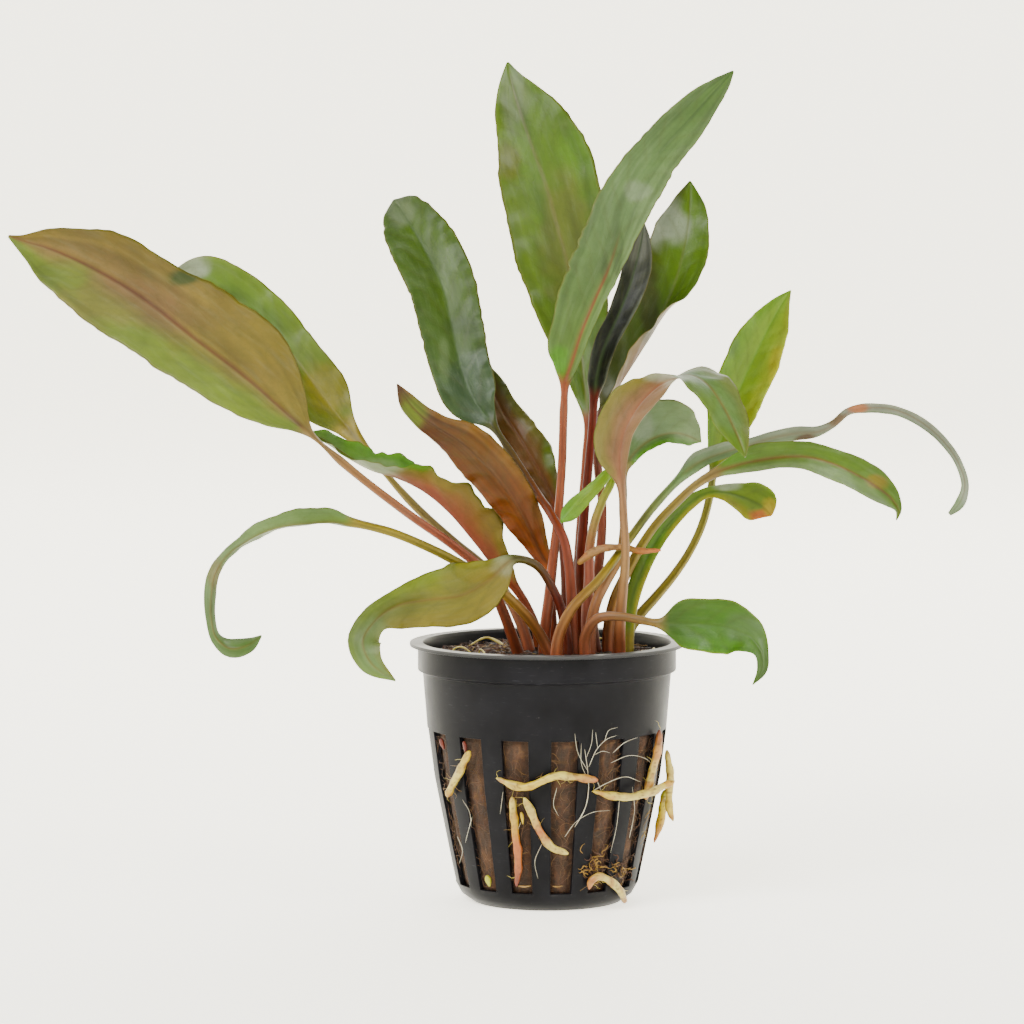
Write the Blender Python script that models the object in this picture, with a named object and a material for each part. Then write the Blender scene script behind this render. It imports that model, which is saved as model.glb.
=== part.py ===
"""Potted cryptocoryne: a rosette of arching leaves in a slotted net pot with roots growing out of it.

Driving dimensions are millimetres. The pot stands on z = 0, with its axis on x = y = 0.
The front of the plant faces -Y.
"""
import math

import bmesh
import bpy
import numpy as np
from mathutils import noise
from mathutils import Vector

MM = 0.001

# Leaf places are given on the upright plane through the pot's axis, seen from this point.
EYE = np.array([-7.0, -893.0, 150.0])
ON_POT_ROUNDS = 8

# Pot: radius and height of the outer and the inner skin, from the middle of the base to the lip.
POT_OUTER = [(5.5, 0.0), (12.0, 0.0), (15.0, 0.0), (17.2, 1.6), (18.4, 3.8), (20.3, 13.0),
             (22.7, 25.0), (24.0, 34.8), (24.9, 46.0), (25.9, 46.5), (25.9, 51.2), (27.5, 51.3)]
POT_INNER = [(5.5, 1.1), (12.0, 1.1), (14.4, 1.1), (16.4, 2.4), (17.4, 3.8), (19.3, 13.0),
             (21.7, 25.0), (23.0, 34.8), (23.9, 45.6), (24.2, 46.9), (24.6, 51.2), (27.5, 52.0)]
LIP_INNER = (24.9, 52.0)
SLOTS = 15
SLOT_ANGLE = 13.0
FIRST_SLOT = -90.0 + 8.2
WALL_SLOT_ROWS = range(4, 7)
FLOOR_SLOT_ROWS = range(0, 1)

# Growing plug inside the pot.
PLUG_GAP = 0.45
PLUG_TOP = 49.0
PLUG_SIDES = 30
PLUG_RING_RADII = (21.5, 17.0)
PLUG_FLOOR_INSET = 1.0
PLUG_EDGE_DROP = 0.4
PLUG_BUMP = 0.7
PLUG_BUMP_RATE = 0.25

# Leaf section: half thickness of the blade, height of the midrib's keel and size of the petiole.
BLADE_HALF = 0.2
KEEL = 0.55
PETIOLE_FOOT = 1.25
PETIOLE_NECK = 0.85
PETIOLE_TAPER_RATE = 1.6
TIP_RADIUS = 0.25
FOOT_Z = PLUG_TOP + 0.3

# The section turns from round to flat as its half width grows from this share of its core radius.
ROUND_SHARE = 1.15
FLAT_SPREAD = 2.2
DIAGONAL = math.sqrt(0.5)

# Rings of a leaf: points in each, their spacing, the fewest, and where the last one lies.
LEAF_SIDES = 8
LEAF_STEP = 5.5
LEAF_LEAST_RINGS = 10
LEAF_END = 0.985

# Each leaf has a foot (x, y) on the plug, a petiole of (x, z, y) and a blade of
# (x, z, y, left, right, turn, fold).
# x and z are read on the plane through the axis, y is the depth behind it, left and right are the
# half widths beside the midrib, turn rolls the blade about its midrib (0 shows the upper face to
# the front, 180 the underside) and fold raises both halves towards the upper face.
LEAVES = {
    "leaf_front_left": {
        "foot": (-5.6, -1.5),
        "petiole": [(-6.6, 52, -2.5), (-9.0, 58.5, -5), (-12.5, 66, -8.5),
                    (-17.9, 70.6, -11), (-27.7, 77.6, -16), (-40.6, 87.7, -23)],
        "blade": [(-48, 94.4, -27, 1.2, 1.2, 168, 5), (-52, 97.9, -28.5, 5.4, 4.7, 166, 8),
                  (-60, 105, -31, 10.6, 8.9, 164, 10), (-70, 112.7, -33.5, 11.0, 10.5, 163, 10),
                  (-80, 120.6, -36, 8.8, 11.7, 163, 10), (-90, 126.6, -38.5, 8.0, 10.2, 164, 10),
                  (-100, 131, -41, 3.7, 6.0, 166, 8), (-105, 132.4, -42, 0.9, 1.9, 168, 5),
                  (-107.6, 133.3, -42.5, 0.05, 0.05, 170, 0)]},
    "leaf_rear_left": {
        "foot": (-3.4, 2.5),
        "petiole": [(-4.3, 53, 3.2), (-8.0, 61.2, 5.6), (-12.6, 67, 8.5),
                    (-18.3, 71.8, 10.5), (-26.8, 79.6, 13.5), (-35, 89, 16.5)],
        "blade": [(-40, 95.2, 19, 1.1, 1.1, 8, 10), (-44, 100.2, 21, 4.4, 4.4, 10, 15),
                  (-49.3, 107.5, 24, 5.6, 5.6, 12, 18), (-56, 115.2, 28, 6.6, 6.2, 12, 18),
                  (-63, 121.2, 32, 6.8, 6.2, 5, 18), (-69, 124.6, 36, 5.4, 5.2, -10, 22),
                  (-73.2, 124.6, 39, 2.4, 2.6, -40, 30), (-75.2, 123.0, 41, 0.05, 0.05, -60, 30)]},
    "leaf_folded_left": {
        "foot": (-1.2, 6.5),
        "petiole": [(-2.0, 54, 6.0), (-4.2, 59.5, 4.8)],
        "blade": [(-6.6, 63.2, 3.6, 1.1, 1.1, 150, 20), (-11.2, 68.2, 1.5, 4.6, 3.0, 140, 40),
                  (-15, 73.0, 0.5, 7.0, 4.4, 128, 50), (-19.4, 78.2, 0, 6.6, 5.0, 118, 55),
                  (-25, 82.8, 0, 4.9, 4.6, 105, 58), (-30, 85.2, -1, 4.9, 4.6, 82, 55),
                  (-35, 86.6, -2, 4.6, 4.6, 66, 50), (-40, 89.2, -3, 3.2, 3.4, 58, 45),
                  (-44.5, 92.3, -4, 2.2, 2.4, 55, 40), (-48.6, 94.2, -5, 0.05, 0.05, 55, 35)]},
    "leaf_brown_left": {
        "foot": (1.6, 1.5),
        "petiole": [(1.2, 54, 1.6), (0.9, 60, 1.5)],
        "blade": [(0.4, 66.6, 0.8, 1.1, 1.1, 180, 5), (-1.7, 70.6, 0, 2.2, 2.2, 180, 10),
                  (-4.4, 76.2, -2.4, 3.8, 3.9, 178, 12), (-8.6, 83.0, -5.2, 4.7, 4.7, 176, 12),
                  (-13.2, 88.4, -6.8, 4.9, 4.9, 174, 12), (-17.3, 92.2, -7.4, 4.2, 4.2, 172, 12),
                  (-21.5, 94.8, -8.5, 2.8, 2.9, 172, 12), (-25, 97.2, -10, 2.2, 2.4, 176, 15),
                  (-27.8, 100.2, -11.5, 1.7, 1.9, 180, 15), (-30, 103.8, -13, 0.05, 0.05, 184, 10)]},
    "leaf_green_left": {
        "foot": (5.3, -4.5),
        "petiole": [(5.0, 55, -5), (4.9, 60.5, -6), (4.3, 68, -7),
                    (3.2, 73, -7), (1.2, 76.8, -6.2), (-2.5, 82.5, -1.1), (-7, 89.5, 1.6)],
        "blade": [(-10.8, 95.3, 3, 1.1, 1.1, 0, 5), (-14.4, 100.2, 5.2, 5.4, 5.2, 0, 12),
                  (-17.3, 107.4, 8.5, 6.3, 6.2, 2, 14), (-19.1, 115.6, 11.5, 6.8, 6.6, 4, 14),
                  (-21.1, 123.6, 15, 7.1, 7.0, 6, 14), (-24.6, 131, 19, 7.0, 6.9, 6, 14),
                  (-27.9, 136.4, 23.5, 5.4, 5.3, 2, 12), (-29.9, 139.3, 27, 2.9, 2.9, 0, 8),
                  (-30.6, 140.3, 29, 0.05, 0.05, 0, 0)]},
    "leaf_brown_rear": {
        "foot": (3.6, 5.5),
        "petiole": [(3.8, 57, 5.6), (3.6, 66, 5.4), (2.9, 73, 5.2)],
        "blade": [(1.8, 79.2, 5.6, 1.0, 1.0, 180, 5), (-0.2, 83.6, 6.4, 2.6, 2.2, 180, 10),
                  (-2.6, 88.2, 7.6, 4.4, 3.2, 178, 12), (-5.6, 93.2, 9.4, 4.2, 3.8, 176, 12),
                  (-9.0, 98.6, 12, 3.3, 3.6, 176, 12), (-11.4, 104, 15, 2.6, 2.8, 176, 12),
                  (-12.8, 108.5, 18, 0.05, 0.05, 176, 8)]},
    "leaf_tall_left": {
        "foot": (6.4, 9),
        "petiole": [(6.0, 58, 9.2), (6.3, 68, 9.2), (6.9, 78, 9.4),
                    (7.8, 89, 10)],
        "blade": [(8.2, 96.6, 11, 1.0, 1.0, 0, 5), (7.5, 103.2, 13.5, 2.9, 2.9, -4, 12),
                  (6.6, 111.5, 17, 6.0, 5.6, -8, 16), (5.3, 120, 19, 8.4, 8.0, -10, 16),
                  (4.1, 127.5, 20, 10.0, 9.6, -12, 15), (2.1, 134.8, 21.6, 10.0, 11.0, -12, 14),
                  (0.4, 141, 23, 9.6, 11.6, -12, 13), (-1.3, 146.2, 24.5, 8.9, 11.8, -12, 12),
                  (-3.1, 151, 26, 7.4, 10.8, -12, 12), (-4.9, 156.2, 28, 5.7, 8.6, -10, 12),
                  (-6.4, 161, 30, 4.1, 5.2, -8, 10), (-7.4, 165, 31.5, 1.9, 2.0, -4, 8),
                  (-7.9, 167.8, 32.5, 0.05, 0.05, 0, 0)]},
    "leaf_tall_right": {
        "foot": (-0.6, -2.8),
        "petiole": [(-0.4, 54, -3.2), (0.3, 60, -3.6), (1.3, 69, -3.2),
                    (2.2, 77, -2.2), (3.0, 88, -2.5), (3.3, 98, -4)],
        "blade": [(3.5, 103.6, -5, 1.0, 1.0, -5, 5), (4.9, 107.8, -6, 4.7, 2.4, -14, 18),
                  (6.9, 114, -8, 6.4, 3.6, -20, 20), (9.5, 120.3, -10, 7.4, 4.2, -24, 20),
                  (12.2, 126.4, -12, 7.8, 4.2, -26, 20), (14.2, 132.5, -14, 7.2, 4.4, -24, 18),
                  (15.8, 138.8, -16.5, 6.2, 5.2, -16, 16), (18.6, 145, -19, 5.1, 5.6, -8, 14),
                  (22.8, 150.5, -22, 4.5, 4.7, -4, 14), (27.2, 155.2, -25, 4.4, 4.1, 0, 14),
                  (32, 160.5, -28.5, 3.1, 2.7, 0, 12), (35.2, 163.9, -31, 1.4, 1.4, 0, 8),
                  (37.1, 166, -32.5, 0.05, 0.05, 0, 0)]},
    "leaf_round_right": {
        "foot": (9.8, 2.4),
        "petiole": [(9.1, 55, 2.6), (9.3, 61, 3), (10.3, 67, 3.4),
                    (10.9, 73, 3.8), (11.0, 80, 4.4), (10.2, 86.5, 5), (9.9, 92, 5.8)],
        "blade": [(10.7, 97.4, 7, 1.0, 1.0, -75, 20), (14.0, 103.2, 9, 5.2, 3.6, -68, 50),
                  (17.9, 109.4, 12, 8.0, 5.2, -62, 52), (21.8, 115.6, 16, 9.4, 5.8, -50, 46),
                  (24.9, 122, 20, 8.4, 6.2, -28, 30), (26.9, 129, 24.5, 7.6, 5.6, -10, 18),
                  (28.0, 135, 28, 6.4, 4.4, -4, 14), (28.3, 140, 31, 3.4, 2.9, 0, 12),
                  (28.4, 144.2, 33.5, 0.05, 0.05, 0, 0)]},
    "leaf_dark_right": {
        "foot": (6.6, 2.2),
        "petiole": [(6.6, 60, 2.0), (6.9, 70, 1.6), (7.5, 78, 1.2),
                    (8.4, 88, 0.8), (9.1, 96, 0.6)],
        "blade": [(9.4, 101.2, 0.6, 1.0, 1.0, 0, 20), (10.1, 106, 1, 2.4, 2.4, 0, 35),
                  (11.5, 111.2, 1.6, 3.0, 2.8, 0, 38), (14.0, 117, 3, 2.9, 3.3, 4, 38),
                  (16.2, 122.5, 5, 3.4, 3.9, 6, 38), (17.8, 128, 7.5, 3.6, 3.6, 6, 38),
                  (18.8, 132.6, 10, 2.2, 2.0, 4, 34), (19.3, 135.8, 12, 0.05, 0.05, 0, 20)]},
    "leaf_arching_front": {
        "foot": (14.4, -5.5),
        "petiole": [(14.6, 55, -7.2), (15.2, 62.5, -8.8), (15.7, 69, -10),
                    (15.3, 77, -11)],
        "blade": [(14.6, 84.2, -12, 1.1, 1.1, 186, 8), (14.4, 89, -13, 2.0, 4.6, 188, 14),
                  (15.2, 94, -14.5, 2.4, 5.6, 194, 16), (17.6, 98.8, -16.5, 3.6, 5.6, 204, 16),
                  (21.0, 102.6, -19.5, 4.0, 4.9, 222, 14), (24.6, 104.8, -22.5, 4.4, 4.6, 252, 12),
                  (28.4, 105.3, -25, 4.6, 4.8, 286, 10), (32.0, 103.4, -29, 5.0, 5.0, 312, 10),
                  (34.8, 99.6, -32, 4.2, 4.2, 328, 10), (37.0, 95.4, -34.5, 3.4, 3.4, 338, 10),
                  (38.6, 91.8, -36.5, 1.8, 1.8, 345, 8), (39.7, 88.8, -38, 0.05, 0.05, 350, 0)]},
    "leaf_small_right": {
        "foot": (8.6, -5.4),
        "petiole": [(8.8, 54.5, -5.2), (9.9, 60, -4.6), (11.9, 64, -2.6),
                    (14.4, 68.6, 0.8), (15.3, 74, 3.2), (15.2, 81, 5)],
        "blade": [(15.6, 87, 6.5, 1.0, 1.0, -10, 15), (18.2, 90.6, 8.5, 4.2, 2.4, -25, 28),
                  (21.8, 93.0, 12, 7.6, 2.8, -25, 28), (25.6, 93.8, 16, 6.4, 2.6, -18, 24),
                  (28.8, 93.0, 20, 3.5, 1.8, -10, 18), (30.8, 92.0, 22.5, 0.05, 0.05, 0, 10)]},
    "leaf_bright_right": {
        "foot": (15.4, 4),
        "petiole": [(16.4, 54, 4.4), (18.5, 57.2, 5.4), (21.5, 60.6, 7),
                    (25, 64.8, 9.4), (28.5, 70, 12.4), (31, 75.4, 15.6), (32.5, 81, 19)],
        "blade": [(33.3, 86.2, 22, 1.0, 1.0, 6, 5), (34.6, 91.5, 25, 3.2, 3.1, 8, 12),
                  (36.6, 98, 29, 5.6, 5.2, 8, 14), (39.1, 104.2, 33, 6.0, 5.6, 8, 14),
                  (41.9, 110.2, 37, 6.0, 5.4, 8, 14), (44.8, 116, 41, 4.0, 3.8, 6, 12),
                  (46.9, 119.8, 44, 1.9, 1.8, 4, 8), (48.6, 122.4, 46, 0.05, 0.05, 0, 0)]},
    "leaf_brown_rib_right": {
        "foot": (12.2, -1.4),
        "petiole": [(12.4, 55, -1.2), (13.6, 60.6, -0.8), (15.8, 65.4, -0.6),
                    (18.4, 70.4, -1.2), (21.4, 75, -2.4), (25.6, 79.6, -4.4), (30, 83.6, -7)],
        "blade": [(34, 86.0, -9.5, 1.1, 1.1, -8, 10), (38, 87.4, -12, 2.3, 1.8, -10, 12),
                  (42, 88.3, -14.5, 3.3, 2.2, -10, 14), (47, 89, -17.5, 3.1, 2.2, -10, 14),
                  (52, 89, -20.5, 3.1, 2.6, -8, 14), (57, 87.7, -23, 3.0, 3.2, -6, 14),
                  (62, 85.4, -25.5, 3.4, 3.0, -4, 14), (66, 83.0, -27.5, 3.2, 2.8, 0, 14),
                  (68.9, 80.6, -29, 1.9, 2.0, 0, 12), (70.3, 78.2, -30, 0.6, 0.6, 0, 8),
                  (69.8, 76.1, -30.5, 0.05, 0.05, 0, 0)]},
    "leaf_young_centre": {
        "foot": (8.3, -1.6),
        "petiole": [(8.0, 57, -1.6), (8.4, 64, -1.8), (8.5, 70, -2.2),
                    (9.4, 75.5, -3), (11.2, 80.6, -4.4), (12.9, 84.4, -6)],
        "blade": [(12.6, 85.9, -7.4, 1.0, 1.0, 180, 15), (10.6, 84.0, -8.8, 1.2, 1.2, 180, 20),
                  (8.2, 81.6, -10, 1.4, 1.5, 180, 20), (5.7, 79.2, -11, 1.8, 1.9, 180, 15),
                  (3.9, 77.2, -11.8, 1.4, 1.5, 180, 10), (2.7, 75.8, -12.2, 0.05, 0.05, 180, 0)]},
    "leaf_withered_right": {
        "foot": (1.6, -12.5),
        "petiole": [(2.3, 52.8, -12.8), (4.6, 58.0, -12.8),
                    (10.4, 64.4, -9.8), (16, 71.9, -3.6), (21.6, 79.4, 2.5)],
        "blade": [(26.6, 84.8, 6.5, 1.0, 1.0, -20, 20), (30.4, 87.9, 9, 2.3, 1.8, -25, 30),
                  (35, 89.8, 11.5, 2.2, 1.8, -25, 40), (40, 91.2, 14, 1.5, 1.4, -20, 48),
                  (45, 92.8, 16.5, 1.4, 1.4, -10, 48), (50, 93.8, 18.5, 1.5, 1.5, 0, 45),
                  (54, 94.2, 20, 1.2, 1.2, 20, 50), (57, 95.6, 21, 0.9, 0.9, 30, 55),
                  (60, 98.1, 22, 0.9, 0.9, 30, 55), (65, 99, 23.5, 1.3, 1.3, 20, 50),
                  (70, 98.3, 24.5, 1.4, 1.4, 10, 48), (75, 95.8, 25.5, 1.4, 1.4, 0, 45),
                  (79.4, 91.9, 26, 1.2, 1.2, 0, 45), (82.4, 87.4, 26, 1.1, 1.1, 0, 45),
                  (83.5, 82.8, 25.5, 1.1, 1.1, 0, 40), (82.4, 79.6, 25, 1.2, 1.2, 0, 30),
                  (80.2, 77.3, 24.5, 0.3, 0.3, 0, 10)]},
    "leaf_yellow_tip": {
        "foot": (16.2, -0.4),
        "petiole": [],
        "blade": [(16.3, 53, -0.4, 1.2, 1.2, 0, 10), (16.7, 59, -0.3, 1.5, 1.5, 0, 20),
                  (18.4, 65, 0.2, 1.6, 1.6, 0, 25), (20.9, 70.6, 1.2, 1.7, 1.7, 0, 25),
                  (24.4, 75.8, 2.6, 1.7, 1.7, 0, 25), (28.6, 80.0, 4, 1.5, 1.5, 0, 25),
                  (32, 81.9, 3, 1.1, 1.1, 0, 25), (35.2, 82.0, 1, 1.7, 1.7, 0, 20),
                  (38.6, 81.2, -1, 2.8, 2.8, 0, 15), (41.8, 79.9, -3, 4.0, 3.9, 0, 12),
                  (44.0, 78.4, -4.4, 2.9, 2.7, 0, 8), (45.0, 77.2, -5, 0.05, 0.05, 0, 0)]},
    "leaf_low_right": {
        "foot": (7.6, -9.4),
        "petiole": [(7.7, 53, -10.4), (10.2, 56.6, -12.4), (14.6, 57, -14),
                    (18.6, 56.3, -15.6)],
        "blade": [(22.6, 55.6, -17.4, 1.1, 1.1, -8, 5), (27, 55.7, -19.6, 4.4, 4.7, -10, 10),
                  (32, 55.5, -22, 5.0, 5.6, -10, 10), (37, 54.6, -25, 5.2, 5.5, -8, 10),
                  (41, 52.6, -28, 3.4, 4.0, -4, 10), (43, 49.5, -30, 1.5, 1.4, 0, 10),
                  (43.1, 46.3, -31, 1.1, 1.0, 0, 10), (41.2, 43.1, -31.5, 0.05, 0.05, 0, 0)]},
    "leaf_drooping_left": {
        "foot": (4.0, -8.3),
        "petiole": [(3.9, 53, -8.4), (3.0, 58, -9.2), (0.8, 63.3, -11.2),
                    (-2.6, 67.6, -14.6)],
        "blade": [(-6.9, 68.4, -18, 1.1, 1.1, 180, 5), (-11.2, 64.8, -21, 4.2, 4.8, 176, 10),
                  (-17, 61.4, -24, 6.6, 6.4, 174, 12), (-24, 60.4, -27, 5.0, 5.8, 174, 14),
                  (-30, 59.2, -30, 3.1, 5.0, 176, 14), (-34.6, 56.0, -33, 3.0, 2.6, 180, 12),
                  (-36.9, 51.9, -35.5, 3.0, 3.6, 184, 10), (-35.5, 48.0, -37, 2.6, 2.6, 186, 10),
                  (-30.2, 43.9, -38, 0.05, 0.05, 186, 0)]},
    "leaf_curled_left": {
        "foot": (0.8, -6.8),
        "petiole": [(-1.0, 52.6, -7.4), (-7.7, 60.8, -11.6),
                    (-18.1, 68.0, -17), (-24.7, 71.3, -19.5), (-31.1, 73.9, -21.5)],
        "blade": [(-38.6, 75.8, -23.5, 1.0, 1.0, 150, 10), (-43, 76.2, -24.5, 2.6, 1.3, 140, 30),
                  (-48, 75.9, -25.5, 3.2, 1.7, 140, 35), (-53, 75.3, -26.5, 2.6, 2.2, 140, 35),
                  (-57, 74.0, -27.5, 2.3, 2.5, 145, 35), (-61, 71.8, -28.5, 1.5, 2.0, 150, 40),
                  (-64.2, 69.4, -29.5, 1.0, 1.1, 155, 45), (-66.4, 66, -30.5, 1.4, 1.4, 160, 40),
                  (-67.3, 61, -31.5, 1.6, 1.4, 165, 35), (-67.3, 56.5, -32.5, 1.1, 1.0, 170, 35),
                  (-66.2, 52.6, -33.5, 1.4, 1.2, 175, 30), (-63.5, 50.6, -34.5, 2.0, 2.0, 180, 20),
                  (-60, 51.2, -35.5, 1.6, 1.5, 180, 15), (-57, 53.3, -36.5, 0.05, 0.05, 180, 0)]},
}

# Finish of each leaf.
LEAF_FINISH = {
    "leaf_front_left": "leaf_olive",
    "leaf_rear_left": "leaf_olive",
    "leaf_folded_left": "leaf_brown",
    "leaf_brown_left": "leaf_brown",
    "leaf_green_left": "leaf_green",
    "leaf_brown_rear": "leaf_brown",
    "leaf_tall_left": "leaf_green",
    "leaf_tall_right": "leaf_grey_green",
    "leaf_round_right": "leaf_green",
    "leaf_dark_right": "leaf_dark",
    "leaf_arching_front": "leaf_grey_green",
    "leaf_small_right": "leaf_grey_green",
    "leaf_bright_right": "leaf_bright",
    "leaf_brown_rib_right": "leaf_green",
    "leaf_young_centre": "leaf_bright",
    "leaf_withered_right": "leaf_pale",
    "leaf_yellow_tip": "leaf_bright",
    "leaf_low_right": "leaf_bright",
    "leaf_drooping_left": "leaf_olive",
    "leaf_curled_left": "leaf_pale",
}

# Base colour and roughness of each finish.
FINISHES = {
    "pot_plastic": ((0.02, 0.02, 0.022), 0.38),
    "growing_fibre": ((0.07, 0.04, 0.02), 0.9),
    "leaf_green": ((0.16, 0.22, 0.06), 0.42),
    "leaf_olive": ((0.24, 0.23, 0.06), 0.42),
    "leaf_brown": ((0.22, 0.11, 0.03), 0.42),
    "leaf_grey_green": ((0.22, 0.28, 0.16), 0.42),
    "leaf_bright": ((0.27, 0.40, 0.05), 0.42),
    "leaf_dark": ((0.03, 0.04, 0.03), 0.42),
    "leaf_pale": ((0.30, 0.31, 0.19), 0.42),
    "root_cream": ((0.62, 0.52, 0.28), 0.55),
    "runner_brown": ((0.42, 0.26, 0.11), 0.55),
}
SHARP_ANGLE = 40

# Stiff old runner that crosses the petioles.
RUNNER = [(6.2, 67.6, -8.4), (8.6, 69.6, -8.0), (12.0, 70.8, -7.8), (15.0, 70.9, -7.6),
          (19.0, 70.2, -7.4), (22.8, 70.3, -7.0)]
RUNNER_RADII = (0.75, 0.8, 0.75, 0.65, 0.6, 0.4)

# Roots that grow out of the slots and lie on the pot, as (x, z, lift of the middle line off the wall).
ROOTS = {
    "root_left": [(-15.5, 29.8, 1.2), (-16.8, 27.2, 1.2), (-18.5, 23.8, 1.2), (-20.0, 20.7, 1.3)],
    "root_front_level": [(-10.2, 24.4, 1.3), (-7.4, 23.2, 1.3), (-4.2, 22.5, 1.3), (-0.8, 23.8, 1.4),
                         (2.4, 24.9, 1.4), (5.3, 24.6, 1.3), (8.2, 24.2, 1.3), (10.2, 23.9, 1.2)],
    "root_front_upright": [(-7.0, 20.5, 0.6), (-6.6, 16.0, 0.3), (-6.2, 12.6, 0.3), (-5.8, 9.2, 0.3),
                           (-5.8, 5.9, 0.3), (-6.1, 2.4, 0.4)],
    "root_front_slanting": [(-4.6, 20.4, 1.2), (-3.6, 18.4, 1.2), (-2.2, 15.3, 1.2), (-0.8, 12.6, 1.3),
                            (1.2, 10.2, 1.4), (4.3, 9.0, 1.4)],
    "root_right_level": [(9.2, 21.7, 1.2), (13.2, 20.8, 1.3), (16.5, 20.5, 1.9), (19.9, 21.2, 3.1),
                         (23.1, 22.6, 3.5), (25.6, 23.8, 4.8)],
    "root_right_upright": [(22.6, 34.1, 1.1), (22.4, 31.1, 1.1), (21.7, 27.7, 1.1), (21.0, 25.0, 1.1),
                           (20.5, 22.8, 1.1), (19.9, 20.0, 1.2)],
    "root_right_outer": [(24.1, 30.0, 1.6), (24.7, 26.0, 2.6), (24.6, 21.7, 3.2), (24.6, 18.7, 3.9),
                         (25.4, 15.7, 5.2)],
    "root_right_taper": [(23.8, 21.9, 2.0), (23.2, 18.0, 2.0), (22.6, 14.6, 2.2), (21.6, 11.3, 2.0)],
    "root_low_right": [(8.5, 1.8, 1.1), (9.0, 3.6, 1.2), (10.2, 4.4, 1.2), (11.9, 4.0, 1.3),
                       (13.5, 2.9, 1.5), (14.9, 1.2, 1.8), (15.8, -0.9, 2.2)],
}
ROOT_RADIUS = 0.82
ROOT_TIP_SHARE = 0.7

# Round tubes of roots and runner.
TUBE_SIDES = 7
TUBE_STEP = 2.6
TUBE_LEAST_RINGS = 4
LEVEL_TUBE_GUIDE = (0.31, 0.17, 0.94)
UPRIGHT_TUBE_GUIDE = (0.2, 0.97, 0.1)
UPRIGHT_SHARE = 0.9


def place(x, z, y):
    """Point that the eye sees at (x, z) on the plane through the axis, but y behind that plane."""
    seen = np.array([x, 0.0, z])
    return EYE + (seen - EYE) * (1 + y / -EYE[1])


def on_pot(x, z, lift):
    """Point seen at (x, z) whose distance from the pot's outer skin is lift."""
    heights = [height for _, height in POT_OUTER]
    radii = [radius for radius, _ in POT_OUTER]
    y = -POT_OUTER[5][0]
    for _ in range(ON_POT_ROUNDS):
        spot = place(x, z, y)
        radius = np.interp(spot[2], heights, radii)
        y = -math.sqrt(max((radius + lift) ** 2 - spot[0] ** 2, 0))
    return place(x, z, y)


def flow(rows, spots):
    """Smooth curve through rows of channels, read at spots from 0 to 1 of its length."""
    rows = np.asarray(rows, float)
    length = np.concatenate([[0], np.cumsum(np.linalg.norm(np.diff(rows[:, :3], axis=0), axis=1))])
    slope = np.gradient(rows, length, axis=0)
    at = np.asarray(spots) * length[-1]
    first = np.clip(np.searchsorted(length, at, side="right") - 1, 0, len(length) - 2)
    span = (length[first + 1] - length[first])[:, None]
    t = (at - length[first])[:, None] / span
    keep = (2 * t ** 3 - 3 * t ** 2 + 1) * rows[first] + (3 * t ** 2 - 2 * t ** 3) * rows[first + 1]
    lean = (t ** 3 - 2 * t ** 2 + t) * slope[first] + (t ** 3 - t ** 2) * slope[first + 1]
    return keep + lean * span


def unit(vectors):
    return vectors / np.linalg.norm(vectors, axis=-1, keepdims=True)


def new_object(name, mesh, finish):
    colour, roughness = FINISHES[finish]
    material = bpy.data.materials.get(finish) or bpy.data.materials.new(finish)
    material.use_nodes = True
    shader = material.node_tree.nodes["Principled BSDF"]
    shader.inputs["Base Color"].default_value = (*colour, 1)
    shader.inputs["Roughness"].default_value = roughness
    mesh.materials.append(material)
    mesh.shade_smooth()
    mesh.set_sharp_from_angle(angle=math.radians(SHARP_ANGLE))
    thing = bpy.data.objects.new(name, mesh)
    bpy.context.scene.collection.objects.link(thing)
    return thing


def solid_mesh(name, points, faces):
    """Closed mesh from points in millimetres, with its faces turned outwards."""
    mesh = bpy.data.meshes.new(name)
    mesh.from_pydata([tuple(p * MM for p in point) for point in points], [], faces)
    work = bmesh.new()
    work.from_mesh(mesh)
    bmesh.ops.triangulate(work, faces=work.faces)
    bmesh.ops.recalc_face_normals(work, faces=work.faces)
    work.to_mesh(mesh)
    work.free()
    return mesh


def ring_faces(rings, sides):
    """Quads between rings of points laid one after another, with both ends closed."""
    faces = [(r * sides + k, r * sides + (k + 1) % sides, (r + 1) * sides + (k + 1) % sides,
              (r + 1) * sides + k) for r in range(rings - 1) for k in range(sides)]
    faces.append(tuple(reversed(range(sides))))
    faces.append(tuple((rings - 1) * sides + k for k in range(sides)))
    return faces


def leaf_rows(leaf):
    """Stations of one leaf: place, left and right half width, turn, fold and core radius."""
    blade = leaf["blade"]
    places = [(*leaf["foot"], FOOT_Z)] + [place(*spot) for spot in leaf["petiole"]]
    rows = []
    for step, spot in enumerate(places):
        share = min(PETIOLE_TAPER_RATE * step / len(places), 1)
        radius = PETIOLE_FOOT + (PETIOLE_NECK - PETIOLE_FOOT) * share
        rows.append([*spot, radius, radius, blade[0][5], 0, radius])
    for step, (x, z, y, left, right, turn, fold) in enumerate(blade):
        share = step / (len(blade) - 1)
        radius = PETIOLE_NECK + (TIP_RADIUS - PETIOLE_NECK) * share
        rows.append([*place(x, z, y), left, right, turn, fold, radius])
    return np.array(rows)


def leaf_section(left, right, fold, radius):
    """Eight points across a leaf, as distances along the blade and towards its upper face."""
    width = max(left, right)
    flat = min(max((width / radius - ROUND_SHARE) / FLAT_SPREAD, 0), 1)
    quarter = DIAGONAL + (0.5 - DIAGONAL) * flat
    lift = DIAGONAL * radius + (BLADE_HALF - DIAGONAL * radius) * flat
    crown = radius + (BLADE_HALF - radius) * flat
    keel = radius + (min(KEEL, radius) - radius) * flat
    points = []
    for across, up in ((1, 0), (quarter, lift), (0, crown), (-quarter, lift),
                       (-1, 0), (-quarter, -lift), (0, -keel), (quarter, -lift)):
        reach = across * (right if across > 0 else left)
        bend = math.radians(fold) * flat
        points.append((reach * math.cos(bend), abs(reach) * math.sin(bend) + up))
    return points


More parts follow.
